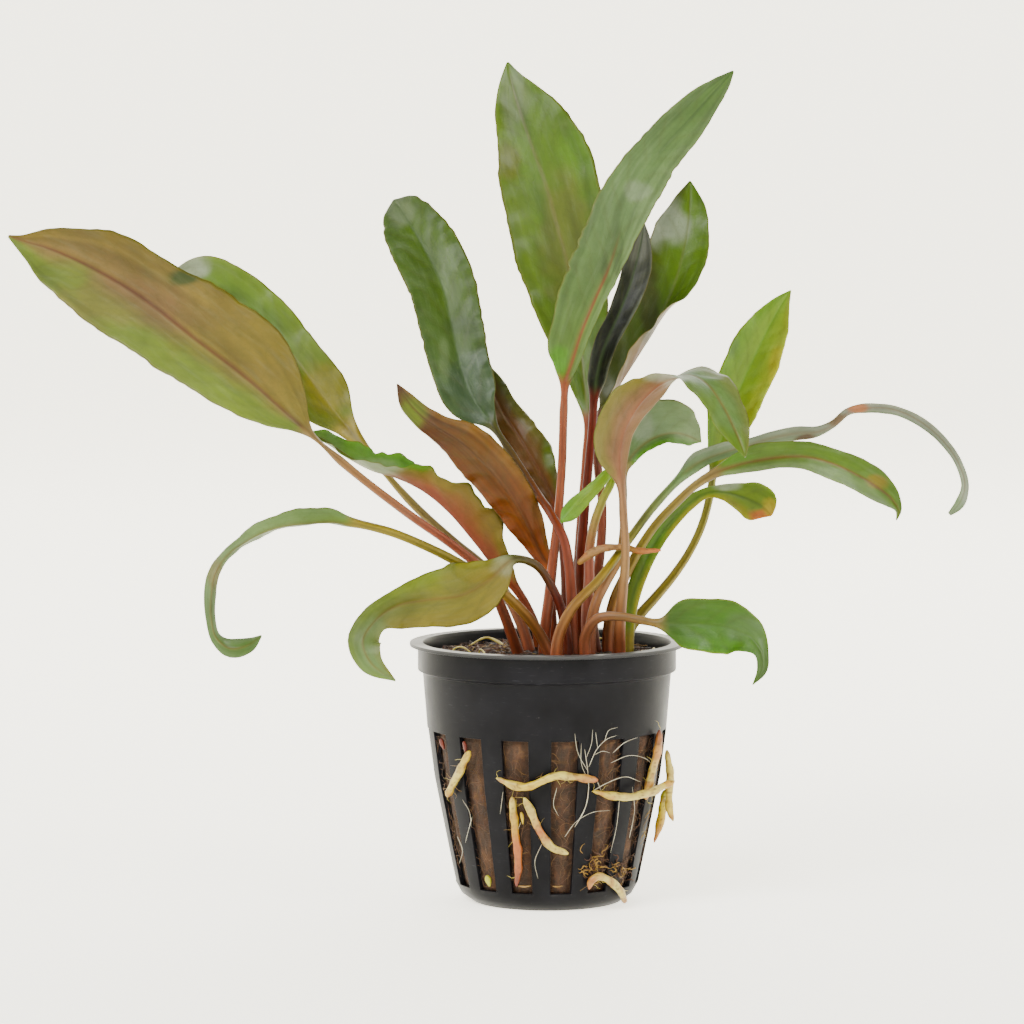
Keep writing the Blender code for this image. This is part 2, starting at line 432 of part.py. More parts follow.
def make_leaf(name, leaf):
    rows = leaf_rows(leaf)
    length = np.linalg.norm(np.diff(rows[:, :3], axis=0), axis=1).sum()
    count = max(LEAF_LEAST_RINGS, round(length / LEAF_STEP))
    spots = np.linspace(0, 1, count)
    spots[-1] = LEAF_END
    data = flow(rows, spots)
    data[:, 3:5] = np.maximum(data[:, 3:5], TIP_RADIUS)
    along = unit(np.gradient(data[:, :3], axis=0))
    along[0] = (0, 0, 1)
    across = unit(np.cross(along, [0, -1, 0]))
    points = []
    for k in range(count):
        turn = math.radians(data[k, 5])
        side = math.cos(turn) * across[k] + math.sin(turn) * np.cross(along[k], across[k])
        upper = np.cross(side, along[k])
        for reach, lift in leaf_section(data[k, 3], data[k, 4], data[k, 6], data[k, 7]):
            points.append(data[k, :3] + side * reach + upper * lift)
    return new_object(name, solid_mesh(name, points, ring_faces(count, LEAF_SIDES)), LEAF_FINISH[name])


def make_tube(name, route, radii, finish):
    """Round tube of changing radius along a smooth route given in real places."""
    rows = np.array([[*point, radius] for point, radius in zip(route, radii)])
    length = np.linalg.norm(np.diff(rows[:, :3], axis=0), axis=1).sum()
    count = max(TUBE_LEAST_RINGS, round(length / TUBE_STEP))
    data = flow(rows, np.linspace(0, 1, count))
    along = unit(np.gradient(data[:, :3], axis=0))
    upright = abs(along[:, 2]).max() >= UPRIGHT_SHARE
    across = unit(np.cross(along, UPRIGHT_TUBE_GUIDE if upright else LEVEL_TUBE_GUIDE))
    points = []
    for k in range(count):
        other = np.cross(along[k], across[k])
        for s in range(TUBE_SIDES):
            angle = 2 * math.pi * s / TUBE_SIDES
            spoke = across[k] * math.cos(angle) + other * math.sin(angle)
            points.append(data[k, :3] + data[k, 3] * spoke)
    return new_object(name, solid_mesh(name, points, ring_faces(count, TUBE_SIDES)), finish)


def make_pot():
    """Net pot with a ring of tall slots in its wall and short ones in its floor."""
    pitch = 360 / SLOTS
    angles = []
    for slot in range(SLOTS):
        centre = FIRST_SLOT + slot * pitch
        angles += [centre - SLOT_ANGLE / 2, centre, centre + SLOT_ANGLE / 2]
    columns = len(angles)
    rows = len(POT_OUTER)

    def around(radius, height):
        return [(radius * math.cos(math.radians(a)), radius * math.sin(math.radians(a)), height)
                for a in angles]

    points = []
    for radius, height in POT_OUTER + POT_INNER + [LIP_INNER]:
        points += around(radius, height)
    under = len(points)
    points += [(0, 0, POT_OUTER[0][1]), (0, 0, POT_INNER[0][1])]

    def outer(row, column):
        return row * columns + column % columns

    def inner(row, column):
        return (rows + row) * columns + column % columns

    def lip(column):
        return 2 * rows * columns + column % columns

    def is_open(row, column):
        in_slot = column % 3 != 2
        return in_slot and (row in WALL_SLOT_ROWS or row in FLOOR_SLOT_ROWS)

    faces = []
    for c in range(columns):
        faces.append((under, outer(0, c + 1), outer(0, c)))
        faces.append((under + 1, inner(0, c), inner(0, c + 1)))
        faces.append((outer(rows - 1, c), outer(rows - 1, c + 1), inner(rows - 1, c + 1), inner(rows - 1, c)))
        faces.append((inner(rows - 1, c), inner(rows - 1, c + 1), lip(c + 1), lip(c)))
        faces.append((lip(c), lip(c + 1), inner(rows - 2, c + 1), inner(rows - 2, c)))
        for r in range(rows - 1):
            if is_open(r, c):
                if not is_open(r - 1, c):
                    faces.append((outer(r, c), outer(r, c + 1), inner(r, c + 1), inner(r, c)))
                if not is_open(r + 1, c):
                    faces.append((outer(r + 1, c), inner(r + 1, c), inner(r + 1, c + 1), outer(r + 1, c + 1)))
                if not is_open(r, c - 1):
                    faces.append((outer(r, c), inner(r, c), inner(r + 1, c), outer(r + 1, c)))
                if not is_open(r, c + 1):
                    faces.append((outer(r, c + 1), outer(r + 1, c + 1), inner(r + 1, c + 1), inner(r, c + 1)))
                continue
            faces.append((outer(r, c), outer(r, c + 1), outer(r + 1, c + 1), outer(r + 1, c)))
            if r < rows - 2:
                faces.append((inner(r, c), inner(r + 1, c), inner(r + 1, c + 1), inner(r, c + 1)))
    return new_object("net_pot", solid_mesh("net_pot", points, faces), "pot_plastic")


def make_plug():
    """Fibrous growing plug that fills the pot and ends just under its rim."""
    floor_radius, floor_height = POT_INNER[2]
    profile = [(floor_radius - PLUG_FLOOR_INSET, floor_height + PLUG_GAP)]
    profile += [(radius - PLUG_GAP, height) for radius, height in POT_INNER[3:9]]
    profile.append((POT_INNER[9][0] - PLUG_GAP, PLUG_TOP - PLUG_EDGE_DROP))
    profile += [(radius, PLUG_TOP) for radius in PLUG_RING_RADII]
    points = []
    for radius, height in profile:
        for k in range(PLUG_SIDES):
            x = radius * math.cos(2 * math.pi * k / PLUG_SIDES)
            y = radius * math.sin(2 * math.pi * k / PLUG_SIDES)
            bumpy = height == PLUG_TOP and radius == PLUG_RING_RADII[0]
            bump = PLUG_BUMP * noise.noise(Vector((x, y, 0)) * PLUG_BUMP_RATE) if bumpy else 0
            points.append((x, y, height + bump))
    mesh = solid_mesh("growing_plug", points, ring_faces(len(profile), PLUG_SIDES))
    return new_object("growing_plug", mesh, "growing_fibre")


def main():
    for thing in list(bpy.data.objects):
        bpy.data.objects.remove(thing, do_unlink=True)
    make_pot()
    make_plug()
    for name, leaf in LEAVES.items():
        make_leaf(name, leaf)
    make_tube("old_runner", [place(*spot) for spot in RUNNER], RUNNER_RADII, "runner_brown")
    for name, route in ROOTS.items():
        radii = np.linspace(ROOT_RADIUS, ROOT_RADIUS * ROOT_TIP_SHARE, len(route))
        make_tube(name, [on_pot(*spot) for spot in route], radii, "root_cream")


main()
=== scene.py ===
import math

import bmesh
import bpy
import numpy as np
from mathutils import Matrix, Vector
from mathutils import noise


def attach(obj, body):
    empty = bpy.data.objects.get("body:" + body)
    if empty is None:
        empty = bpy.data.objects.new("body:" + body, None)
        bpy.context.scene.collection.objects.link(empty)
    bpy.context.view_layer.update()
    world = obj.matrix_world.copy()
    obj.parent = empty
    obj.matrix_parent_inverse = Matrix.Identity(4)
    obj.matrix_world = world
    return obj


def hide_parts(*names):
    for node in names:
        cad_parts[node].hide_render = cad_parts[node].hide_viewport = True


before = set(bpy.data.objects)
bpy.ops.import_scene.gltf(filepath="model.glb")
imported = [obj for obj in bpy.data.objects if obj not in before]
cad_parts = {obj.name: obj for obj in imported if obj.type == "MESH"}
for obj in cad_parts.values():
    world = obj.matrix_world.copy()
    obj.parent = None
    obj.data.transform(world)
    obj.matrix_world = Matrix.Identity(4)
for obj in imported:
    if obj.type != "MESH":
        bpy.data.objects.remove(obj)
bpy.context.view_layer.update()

MM = 0.001

# View of the plant: the eye, the point it looks at and the lens, in millimetres.
EYE = np.array([-7.0, -893.0, 150.0])
LOOK_AT = (-7.0, 0.0, 78.0)
LENS = 157.5
SENSOR = 36.0

# Studio, in metres and watts: each light's name, place, size and power, then the bowl round the plant.
LIGHTS = [("key", (-0.55, -0.75, 0.95), (0.6, 0.6), 24), ("fill", (0.9, -0.6, 0.45), (0.5, 0.8), 6),
          ("back", (0.2, 0.9, 0.8), (1.2, 0.6), 12)]
LIGHT_TARGET = (0, 0, 0.07)
WORLD_STRENGTH = 0.35
FLOOR_RADII = (0.02, 0.06, 0.12, 0.2, 0.3, 0.4, 0.5, 0.65, 0.8, 1.0, 1.25, 1.5)
COVE_RADIUS = 0.7
SWEEP_COLUMNS = 64
SWEEP_STRENGTH = 2.3

# Pot: radius and height of the outer and the inner skin, from the middle of the base to the lip.
POT_OUTER = [(5.5, 0.0), (12.0, 0.0), (15.0, 0.0), (17.2, 1.6), (18.4, 3.8), (20.3, 13.0),
             (22.7, 25.0), (24.0, 34.8), (24.9, 46.0), (25.9, 46.5), (25.9, 51.2), (27.5, 51.3)]
POT_INNER = [(5.5, 1.1), (12.0, 1.1), (14.4, 1.1), (16.4, 2.4), (17.4, 3.8), (19.3, 13.0),
             (21.7, 25.0), (23.0, 34.8), (23.9, 45.6), (24.2, 46.9), (24.6, 51.2), (27.5, 52.0)]
LIP_INNER = (24.9, 52.0)
SLOTS = 15
SLOT_ANGLE = 13.0
FIRST_SLOT = -90.0 + 8.2
WALL_SLOT = (4, 7)
FLOOR_SLOT = (0, 1)
SLOT_COLUMNS = 8
RIB_COLUMNS = 8
POT_ROW_STEP = 1.6
POT_BEVEL = 0.22
START_HEIGHT = 13.0
OUTLINE_SHARE = 0.93

# Growing plug: its top, its gap to the pot and how finely it is divided.
PLUG_TOP = 49.0
PLUG_GAP = 0.45
PLUG_STEP = 0.7
PLUG_COLUMNS = 260
LARGEST_SWELL = 0.8

# Leaf section, as in the solids.
BLADE_HALF = 0.17
MARGIN_HALF = 0.07
KEEL = 0.5
PETIOLE_FOOT = 1.25
PETIOLE_NECK = 0.85
PETIOLE_TAPER_RATE = 1.6
TIP_RADIUS = 0.22
FOOT_Z = PLUG_TOP + 0.3
ROUND_SHARE = 1.15
FLAT_SPREAD = 2.2
LEAF_END = 0.997
TIP_HALF = 0.1
LEAF_STEP = 0.7
LEAF_COLUMNS = 28

# Relief of the leaves: side veins, midrib and the lengthwise grooves of a petiole.
VEIN_SPACING = 5.6
VEIN_WIDTH = 0.32
VEIN_RIPPLE = 0.05
VEIN_GROOVE = 0.04
VEIN_RIDGE = 0.09
RIB_GROOVE = 0.12
STALK_GROOVES = 5
STALK_GROOVE_SHARE = 0.05

# Each leaf has a foot (x, y) on the plug, a petiole of (x, z, y) and a blade of
# (x, z, y, left, right, turn, fold), given on the plane through the axis as the eye sees them.
LEAVES = {
    "leaf_front_left": {
        "foot": (-5.6, -1.5),
        "petiole": [(-6.6, 52, -2.5), (-9.0, 58.5, -5), (-12.5, 66, -8.5),
                    (-17.9, 70.6, -11), (-27.7, 77.6, -16), (-40.6, 87.7, -23)],
        "blade": [(-48, 94.4, -27, 1.2, 1.2, 168, 5), (-52, 97.9, -28.5, 5.4, 4.7, 166, 8),
                  (-60, 105, -31, 10.6, 8.9, 164, 10), (-70, 112.7, -33.5, 11.0, 10.5, 163, 10),
                  (-80, 120.6, -36, 8.8, 11.7, 163, 10), (-90, 126.6, -38.5, 8.0, 10.2, 164, 10),
                  (-100, 131, -41, 3.7, 6.0, 166, 8), (-105, 132.4, -42, 0.9, 1.9, 168, 5),
                  (-107.6, 133.3, -42.5, 0.05, 0.05, 170, 0)]},
    "leaf_rear_left": {
        "foot": (-3.4, 2.5),
        "petiole": [(-4.3, 53, 3.2), (-8.0, 61.2, 5.6), (-12.6, 67, 8.5),
                    (-18.3, 71.8, 10.5), (-26.8, 79.6, 13.5), (-35, 89, 16.5)],
        "blade": [(-40, 95.2, 19, 2.6, 2.2, 8, 10), (-44, 100.2, 21, 6.4, 5.6, 10, 15),
                  (-49.3, 107.5, 24, 5.6, 5.6, 12, 18), (-56, 115.2, 28, 6.6, 6.2, 12, 18),
                  (-63, 121.2, 32, 6.8, 6.2, 5, 18), (-69, 124.6, 36, 5.4, 5.2, -10, 22),
                  (-73.2, 124.6, 39, 2.4, 2.6, -40, 30), (-75.2, 123.0, 41, 0.05, 0.05, -60, 30)]},
    "leaf_folded_left": {
        "foot": (-1.2, 6.5),
        "petiole": [(-2.0, 54, 6.0), (-4.2, 59.5, 4.8)],
        "blade": [(-6.6, 63.2, 3.6, 1.1, 1.1, 150, 20), (-11.2, 68.2, 1.5, 4.6, 3.0, 140, 40),
                  (-15, 73.0, 0.5, 7.0, 4.4, 128, 50), (-19.4, 78.2, 0, 6.6, 5.0, 118, 55),
                  (-25, 82.8, 0, 4.9, 4.6, 105, 58), (-30, 85.2, -1, 4.9, 4.6, 82, 55),
                  (-35, 86.6, -2, 4.6, 4.6, 66, 50), (-40, 89.2, -3, 3.2, 3.4, 58, 45),
                  (-44.5, 92.3, -4, 2.2, 2.4, 55, 40), (-48.6, 94.2, -5, 0.05, 0.05, 55, 35)]},
    "leaf_brown_left": {
        "foot": (1.6, 1.5),
        "petiole": [(1.2, 54, 1.6), (0.9, 60, 1.5)],
        "blade": [(0.4, 66.6, 0.8, 1.1, 1.1, 180, 5), (-1.7, 70.6, 0, 2.2, 2.2, 180, 10),
                  (-4.4, 76.2, -2.4, 3.8, 3.9, 178, 12), (-8.6, 83.0, -5.2, 4.7, 4.7, 176, 12),
                  (-13.2, 88.4, -6.8, 4.9, 4.9, 174, 12), (-17.3, 92.2, -7.4, 4.2, 4.2, 172, 12),
                  (-21.5, 94.8, -8.5, 2.8, 2.9, 172, 12), (-25, 97.2, -10, 2.2, 2.4, 176, 15),
                  (-27.8, 100.2, -11.5, 1.7, 1.9, 180, 15), (-30, 103.8, -13, 0.05, 0.05, 184, 10)]},
    "leaf_green_left": {
        "foot": (5.3, -4.5),
        "petiole": [(5.0, 55, -5), (4.9, 60.5, -6), (4.3, 68, -7),
                    (3.2, 73, -7), (1.2, 76.8, -6.2), (-2.5, 82.5, -1.1), (-7, 89.5, 1.6)],
        "blade": [(-10.8, 95.3, 3, 1.1, 1.1, 0, 5), (-14.4, 100.2, 5.2, 5.4, 5.2, 0, 12),
                  (-17.3, 107.4, 8.5, 6.3, 6.2, 2, 14), (-19.1, 115.6, 11.5, 6.8, 6.6, 4, 14),
                  (-21.1, 123.6, 15, 7.1, 7.0, 6, 14), (-24.6, 131, 19, 7.0, 6.9, 6, 14),
                  (-27.9, 136.4, 23.5, 5.4, 5.3, 2, 12), (-29.9, 139.3, 27, 2.9, 2.9, 0, 8),
                  (-30.6, 140.3, 29, 0.05, 0.05, 0, 0)]},
    "leaf_brown_rear": {
        "foot": (3.6, 5.5),
        "petiole": [(3.8, 57, 5.6), (3.6, 66, 5.4), (2.9, 73, 5.2)],
        "blade": [(1.8, 79.2, 5.6, 1.0, 1.0, 180, 5), (-0.2, 83.6, 6.4, 2.6, 2.2, 180, 10),
                  (-2.6, 88.2, 7.6, 4.4, 3.2, 178, 12), (-5.6, 93.2, 9.4, 4.2, 3.8, 176, 12),
                  (-9.0, 98.6, 12, 3.3, 3.6, 176, 12), (-11.4, 104, 15, 2.6, 2.8, 176, 12),
                  (-12.8, 108.5, 18, 0.05, 0.05, 176, 8)]},
    "leaf_tall_left": {
        "foot": (6.4, 9),
        "petiole": [(6.0, 58, 9.2), (6.3, 68, 9.2), (6.9, 78, 9.4),
                    (7.8, 89, 10)],
        "blade": [(8.2, 96.6, 11, 1.0, 1.0, 0, 5), (7.5, 103.2, 13.5, 2.9, 2.9, -4, 12),
                  (6.6, 111.5, 17, 6.0, 5.6, -8, 16), (5.3, 120, 19, 8.4, 8.0, -10, 16),
                  (4.1, 127.5, 20, 10.0, 9.6, -12, 15), (2.1, 134.8, 21.6, 10.0, 11.0, -12, 14),
                  (0.4, 141, 23, 9.6, 11.6, -12, 13), (-1.3, 146.2, 24.5, 8.9, 11.8, -12, 12),
                  (-3.1, 151, 26, 7.4, 10.8, -12, 12), (-4.9, 156.2, 28, 5.7, 8.6, -10, 12),
                  (-6.4, 161, 30, 4.1, 5.2, -8, 10), (-7.4, 165, 31.5, 1.9, 2.0, -4, 8),
                  (-7.9, 167.8, 32.5, 0.05, 0.05, 0, 0)]},
    "leaf_tall_right": {
        "foot": (-0.6, -2.8),
        "petiole": [(-0.4, 54, -3.2), (0.3, 60, -3.6), (1.3, 69, -3.2),
                    (2.2, 77, -2.2), (3.0, 88, -2.5), (3.3, 98, -4)],
        "blade": [(3.5, 103.6, -5, 1.0, 1.0, -5, 5), (4.9, 107.8, -6, 4.7, 1.6, -14, 18),
                  (6.9, 114, -8, 6.4, 2.2, -20, 20), (9.5, 120.3, -10, 7.4, 2.6, -24, 20),
                  (12.2, 126.4, -12, 7.8, 3.2, -26, 20), (14.2, 132.5, -14, 7.2, 4.0, -24, 18),
                  (15.8, 138.8, -16.5, 6.2, 5.2, -16, 16), (18.6, 145, -19, 5.1, 5.6, -8, 14),
                  (22.8, 150.5, -22, 4.5, 4.7, -4, 14), (27.2, 155.2, -25, 4.4, 4.1, 0, 14),
                  (32, 160.5, -28.5, 3.1, 2.7, 0, 12), (35.2, 163.9, -31, 1.4, 1.4, 0, 8),
                  (37.1, 166, -32.5, 0.05, 0.05, 0, 0)]},
    "leaf_round_right": {
        "foot": (9.8, 2.4),
        "petiole": [(9.1, 55, 2.6), (9.3, 61, 3), (10.3, 67, 3.4),
                    (10.9, 73, 3.8), (11.0, 80, 4.4), (10.2, 86.5, 5), (9.9, 92, 5.8)],
        "blade": [(10.7, 97.4, 7, 1.0, 1.0, -75, 20), (14.0, 103.2, 9, 5.2, 3.6, -68, 50),
                  (17.9, 109.4, 12, 8.0, 5.2, -62, 52), (21.8, 115.6, 16, 9.4, 5.8, -50, 46),
                  (24.9, 122, 20, 8.4, 6.2, -28, 30), (26.9, 129, 24.5, 7.6, 5.6, -10, 18),
                  (28.0, 135, 28, 6.4, 4.4, -4, 14), (28.3, 140, 31, 3.4, 2.9, 0, 12),
                  (28.4, 144.2, 33.5, 0.05, 0.05, 0, 0)]},
    "leaf_dark_right": {
        "foot": (6.6, 2.2),
        "petiole": [(6.6, 60, 2.0), (6.9, 70, 1.6), (7.5, 78, 1.2),
                    (8.4, 88, 0.8), (9.1, 96, 0.6)],
        "blade": [(9.4, 101.2, 0.6, 1.0, 1.0, 0, 20), (10.1, 106, 1, 2.4, 2.4, 0, 35),
                  (11.5, 111.2, 1.6, 3.0, 2.8, 0, 38), (14.0, 117, 3, 2.9, 3.3, 4, 38),
                  (16.2, 122.5, 5, 3.4, 3.9, 6, 38), (17.8, 128, 7.5, 3.6, 3.6, 6, 38),
                  (18.8, 132.6, 10, 2.2, 2.0, 4, 34), (19.3, 135.8, 12, 0.05, 0.05, 0, 20)]},
    "leaf_arching_front": {
        "foot": (14.4, -5.5),
        "petiole": [(14.6, 55, -7.2), (15.2, 62.5, -8.8), (15.7, 69, -10),
                    (15.3, 77, -11)],
        "blade": [(14.6, 84.2, -12, 1.1, 1.1, 186, 8), (14.4, 89, -13, 2.0, 4.6, 188, 14),
                  (15.2, 94, -14.5, 2.4, 5.6, 194, 16), (17.6, 98.8, -16.5, 3.6, 5.6, 204, 16),
                  (21.0, 102.6, -19.5, 4.0, 4.9, 222, 14), (24.6, 104.8, -22.5, 4.4, 4.6, 252, 12),
                  (28.4, 105.3, -25, 4.6, 4.8, 286, 10), (32.0, 103.4, -29, 5.0, 5.0, 312, 10),
                  (34.8, 99.6, -32, 4.2, 4.2, 328, 10), (37.0, 95.4, -34.5, 3.4, 3.4, 338, 10),
                  (38.6, 91.8, -36.5, 1.8, 1.8, 345, 8), (39.7, 88.8, -38, 0.05, 0.05, 350, 0)]},
    "leaf_small_right": {
        "foot": (8.6, -5.4),
        "petiole": [(8.8, 54.5, -5.2), (9.9, 60, -4.6), (11.9, 64, -2.6),
                    (14.4, 68.6, 0.8), (15.3, 74, 3.2), (15.2, 81, 5)],
        "blade": [(15.6, 87, 6.5, 1.0, 1.0, -10, 15), (18.2, 90.6, 8.5, 4.2, 2.4, -25, 28),
                  (21.8, 93.0, 12, 7.6, 2.8, -25, 28), (25.6, 93.8, 16, 6.4, 2.6, -18, 24),
                  (28.8, 93.0, 20, 3.5, 1.8, -10, 18), (30.8, 92.0, 22.5, 0.05, 0.05, 0, 10)]},
    "leaf_bright_right": {
        "foot": (15.4, 4),
        "petiole": [(16.4, 54, 4.4), (18.5, 57.2, 5.4), (21.5, 60.6, 7),
                    (25, 64.8, 9.4), (28.5, 70, 12.4), (31, 75.4, 15.6), (32.5, 81, 19)],
        "blade": [(33.3, 86.2, 22, 1.0, 1.0, 6, 5), (34.6, 91.5, 25, 3.2, 3.1, 8, 12),
                  (36.6, 98, 29, 5.6, 5.2, 8, 14), (39.1, 104.2, 33, 6.0, 5.6, 8, 14),
                  (41.9, 110.2, 37, 6.0, 5.4, 8, 14), (44.8, 116, 41, 4.0, 3.8, 6, 12),
                  (46.9, 119.8, 44, 1.9, 1.8, 4, 8), (48.6, 122.4, 46, 0.05, 0.05, 0, 0)]},
    "leaf_brown_rib_right": {
        "foot": (12.2, -1.4),
        "petiole": [(12.4, 55, -1.2), (13.6, 60.6, -0.8), (15.8, 65.4, -0.6),
                    (18.4, 70.4, -1.2), (21.4, 75, -2.4), (25.6, 79.6, -4.4), (30, 83.6, -7)],
        "blade": [(34, 86.0, -9.5, 1.1, 1.1, -8, 10), (38, 87.4, -12, 2.3, 1.8, -10, 12),
                  (42, 88.3, -14.5, 3.3, 2.2, -10, 14), (47, 89, -17.5, 3.1, 2.2, -10, 14),
                  (52, 89, -20.5, 3.1, 2.6, -8, 14), (57, 87.7, -23, 3.0, 3.2, -6, 14),
                  (62, 85.4, -25.5, 3.4, 3.0, -4, 14), (66, 83.0, -27.5, 3.2, 2.8, 0, 14),
                  (68.9, 80.6, -29, 1.9, 2.0, 0, 12), (70.3, 78.2, -30, 0.6, 0.6, 0, 8),
                  (69.8, 76.1, -30.5, 0.05, 0.05, 0, 0)]},
    "leaf_young_centre": {
        "foot": (8.3, -1.6),
        "petiole": [(8.0, 57, -1.6), (8.4, 64, -1.8), (8.5, 70, -2.2),
                    (9.4, 75.5, -3), (11.2, 80.6, -4.4), (12.9, 84.4, -6)],
        "blade": [(12.6, 85.9, -7.4, 1.0, 1.0, 180, 15), (10.6, 84.0, -8.8, 1.2, 1.2, 180, 20),
                  (8.2, 81.6, -10, 1.4, 1.5, 180, 20), (5.7, 79.2, -11, 1.8, 1.9, 180, 15),
                  (3.9, 77.2, -11.8, 1.4, 1.5, 180, 10), (2.7, 75.8, -12.2, 0.05, 0.05, 180, 0)]},
    "leaf_withered_right": {
        "foot": (1.6, -12.5),
        "petiole": [(2.3, 52.8, -12.8), (4.6, 58.0, -12.8),
                    (10.4, 64.4, -9.8), (16, 71.9, -3.6), (21.6, 79.4, 2.5)],
        "blade": [(26.6, 84.8, 6.5, 1.0, 1.0, -20, 20), (30.4, 87.9, 9, 2.3, 1.8, -25, 30),
                  (35, 89.8, 11.5, 2.2, 1.8, -25, 40), (40, 91.2, 14, 1.5, 1.4, -20, 48),
                  (45, 92.8, 16.5, 1.4, 1.4, -10, 48), (50, 93.8, 18.5, 1.5, 1.5, 0, 45),
                  (54, 94.2, 20, 1.2, 1.2, 20, 50), (57, 95.6, 21, 0.9, 0.9, 30, 55),
                  (60, 98.1, 22, 0.9, 0.9, 30, 55), (65, 99, 23.5, 1.3, 1.3, 20, 50),
                  (70, 98.3, 24.5, 1.4, 1.4, 10, 48), (75, 95.8, 25.5, 1.4, 1.4, 0, 45),
                  (79.4, 91.9, 26, 1.2, 1.2, 0, 45), (82.4, 87.4, 26, 1.1, 1.1, 0, 45),
                  (83.5, 82.8, 25.5, 1.1, 1.1, 0, 40), (82.4, 79.6, 25, 1.2, 1.2, 0, 30),
                  (80.2, 77.3, 24.5, 0.3, 0.3, 0, 10)]},
    "leaf_yellow_tip": {
        "foot": (16.2, -0.4),
        "petiole": [],
        "blade": [(16.3, 53, -0.4, 1.2, 1.2, 0, 10), (16.7, 59, -0.3, 1.5, 1.5, 0, 20),
                  (18.4, 65, 0.2, 1.6, 1.6, 0, 25), (20.9, 70.6, 1.2, 1.7, 1.7, 0, 25),
                  (24.4, 75.8, 2.6, 1.7, 1.7, 0, 25), (28.6, 80.0, 4, 1.5, 1.5, 0, 25),
                  (32, 81.9, 3, 1.1, 1.1, 0, 25), (35.2, 82.0, 1, 1.7, 1.7, 0, 20),
                  (38.6, 81.2, -1, 2.8, 2.8, 0, 15), (41.8, 79.9, -3, 4.0, 3.9, 0, 12),
                  (44.0, 78.4, -4.4, 2.9, 2.7, 0, 8), (45.0, 77.2, -5, 0.05, 0.05, 0, 0)]},
    "leaf_low_right": {
        "foot": (7.6, -9.4),
        "petiole": [(7.7, 53, -10.4), (10.2, 56.6, -12.4), (14.6, 57, -14),
                    (18.6, 56.3, -15.6)],
        "blade": [(22.6, 55.6, -17.4, 1.1, 1.1, -8, 5), (27, 55.7, -19.6, 4.4, 4.7, -10, 10),
                  (32, 55.5, -22, 5.0, 5.6, -10, 10), (37, 54.6, -25, 5.2, 5.5, -8, 10),
                  (41, 52.6, -28, 3.4, 4.0, -4, 10), (43, 49.5, -30, 1.5, 1.4, 0, 10),
                  (43.1, 46.3, -31, 1.1, 1.0, 0, 10), (41.2, 43.1, -31.5, 0.05, 0.05, 0, 0)]},
    "leaf_drooping_left": {
        "foot": (4.0, -8.3),
        "petiole": [(3.9, 53, -8.4), (3.0, 58, -9.2), (0.8, 63.3, -11.2),
                    (-2.6, 67.6, -14.6)],
        "blade": [(-6.9, 68.4, -18, 1.1, 1.1, 180, 5), (-11.2, 64.8, -21, 4.2, 4.8, 176, 10),
                  (-17, 61.4, -24, 6.6, 6.4, 174, 12), (-24, 60.4, -27, 5.0, 5.8, 174, 14),
                  (-30, 59.2, -30, 3.1, 5.0, 176, 14), (-34.6, 56.0, -33, 3.0, 2.6, 180, 12),
                  (-36.9, 51.9, -35.5, 3.0, 3.6, 184, 10), (-35.5, 48.0, -37, 2.6, 2.6, 186, 10),
                  (-30.2, 43.9, -38, 0.05, 0.05, 186, 0)]},
    "leaf_curled_left": {
        "foot": (0.8, -6.8),
        "petiole": [(-1.0, 52.6, -7.4), (-7.7, 60.8, -11.6),
                    (-18.1, 68.0, -17), (-24.7, 71.3, -19.5), (-31.1, 73.9, -21.5)],
        "blade": [(-38.6, 75.8, -23.5, 1.0, 1.0, 150, 10), (-43, 76.2, -24.5, 2.6, 1.3, 140, 30),
                  (-48, 75.9, -25.5, 3.2, 1.7, 140, 35), (-53, 75.3, -26.5, 2.6, 2.2, 140, 35),
                  (-57, 74.0, -27.5, 2.3, 2.5, 145, 35), (-61, 71.8, -28.5, 1.5, 2.0, 150, 40),
                  (-64.2, 69.4, -29.5, 1.0, 1.1, 155, 45), (-66.4, 66, -30.5, 1.4, 1.4, 160, 40),
                  (-67.3, 61, -31.5, 1.6, 1.4, 165, 35), (-67.3, 56.5, -32.5, 1.1, 1.0, 170, 35),
                  (-66.2, 52.6, -33.5, 1.4, 1.2, 175, 30), (-63.5, 50.6, -34.5, 2.0, 2.0, 180, 20),
                  (-60, 51.2, -35.5, 1.6, 1.5, 180, 15), (-57, 53.3, -36.5, 0.05, 0.05, 180, 0)]},
}

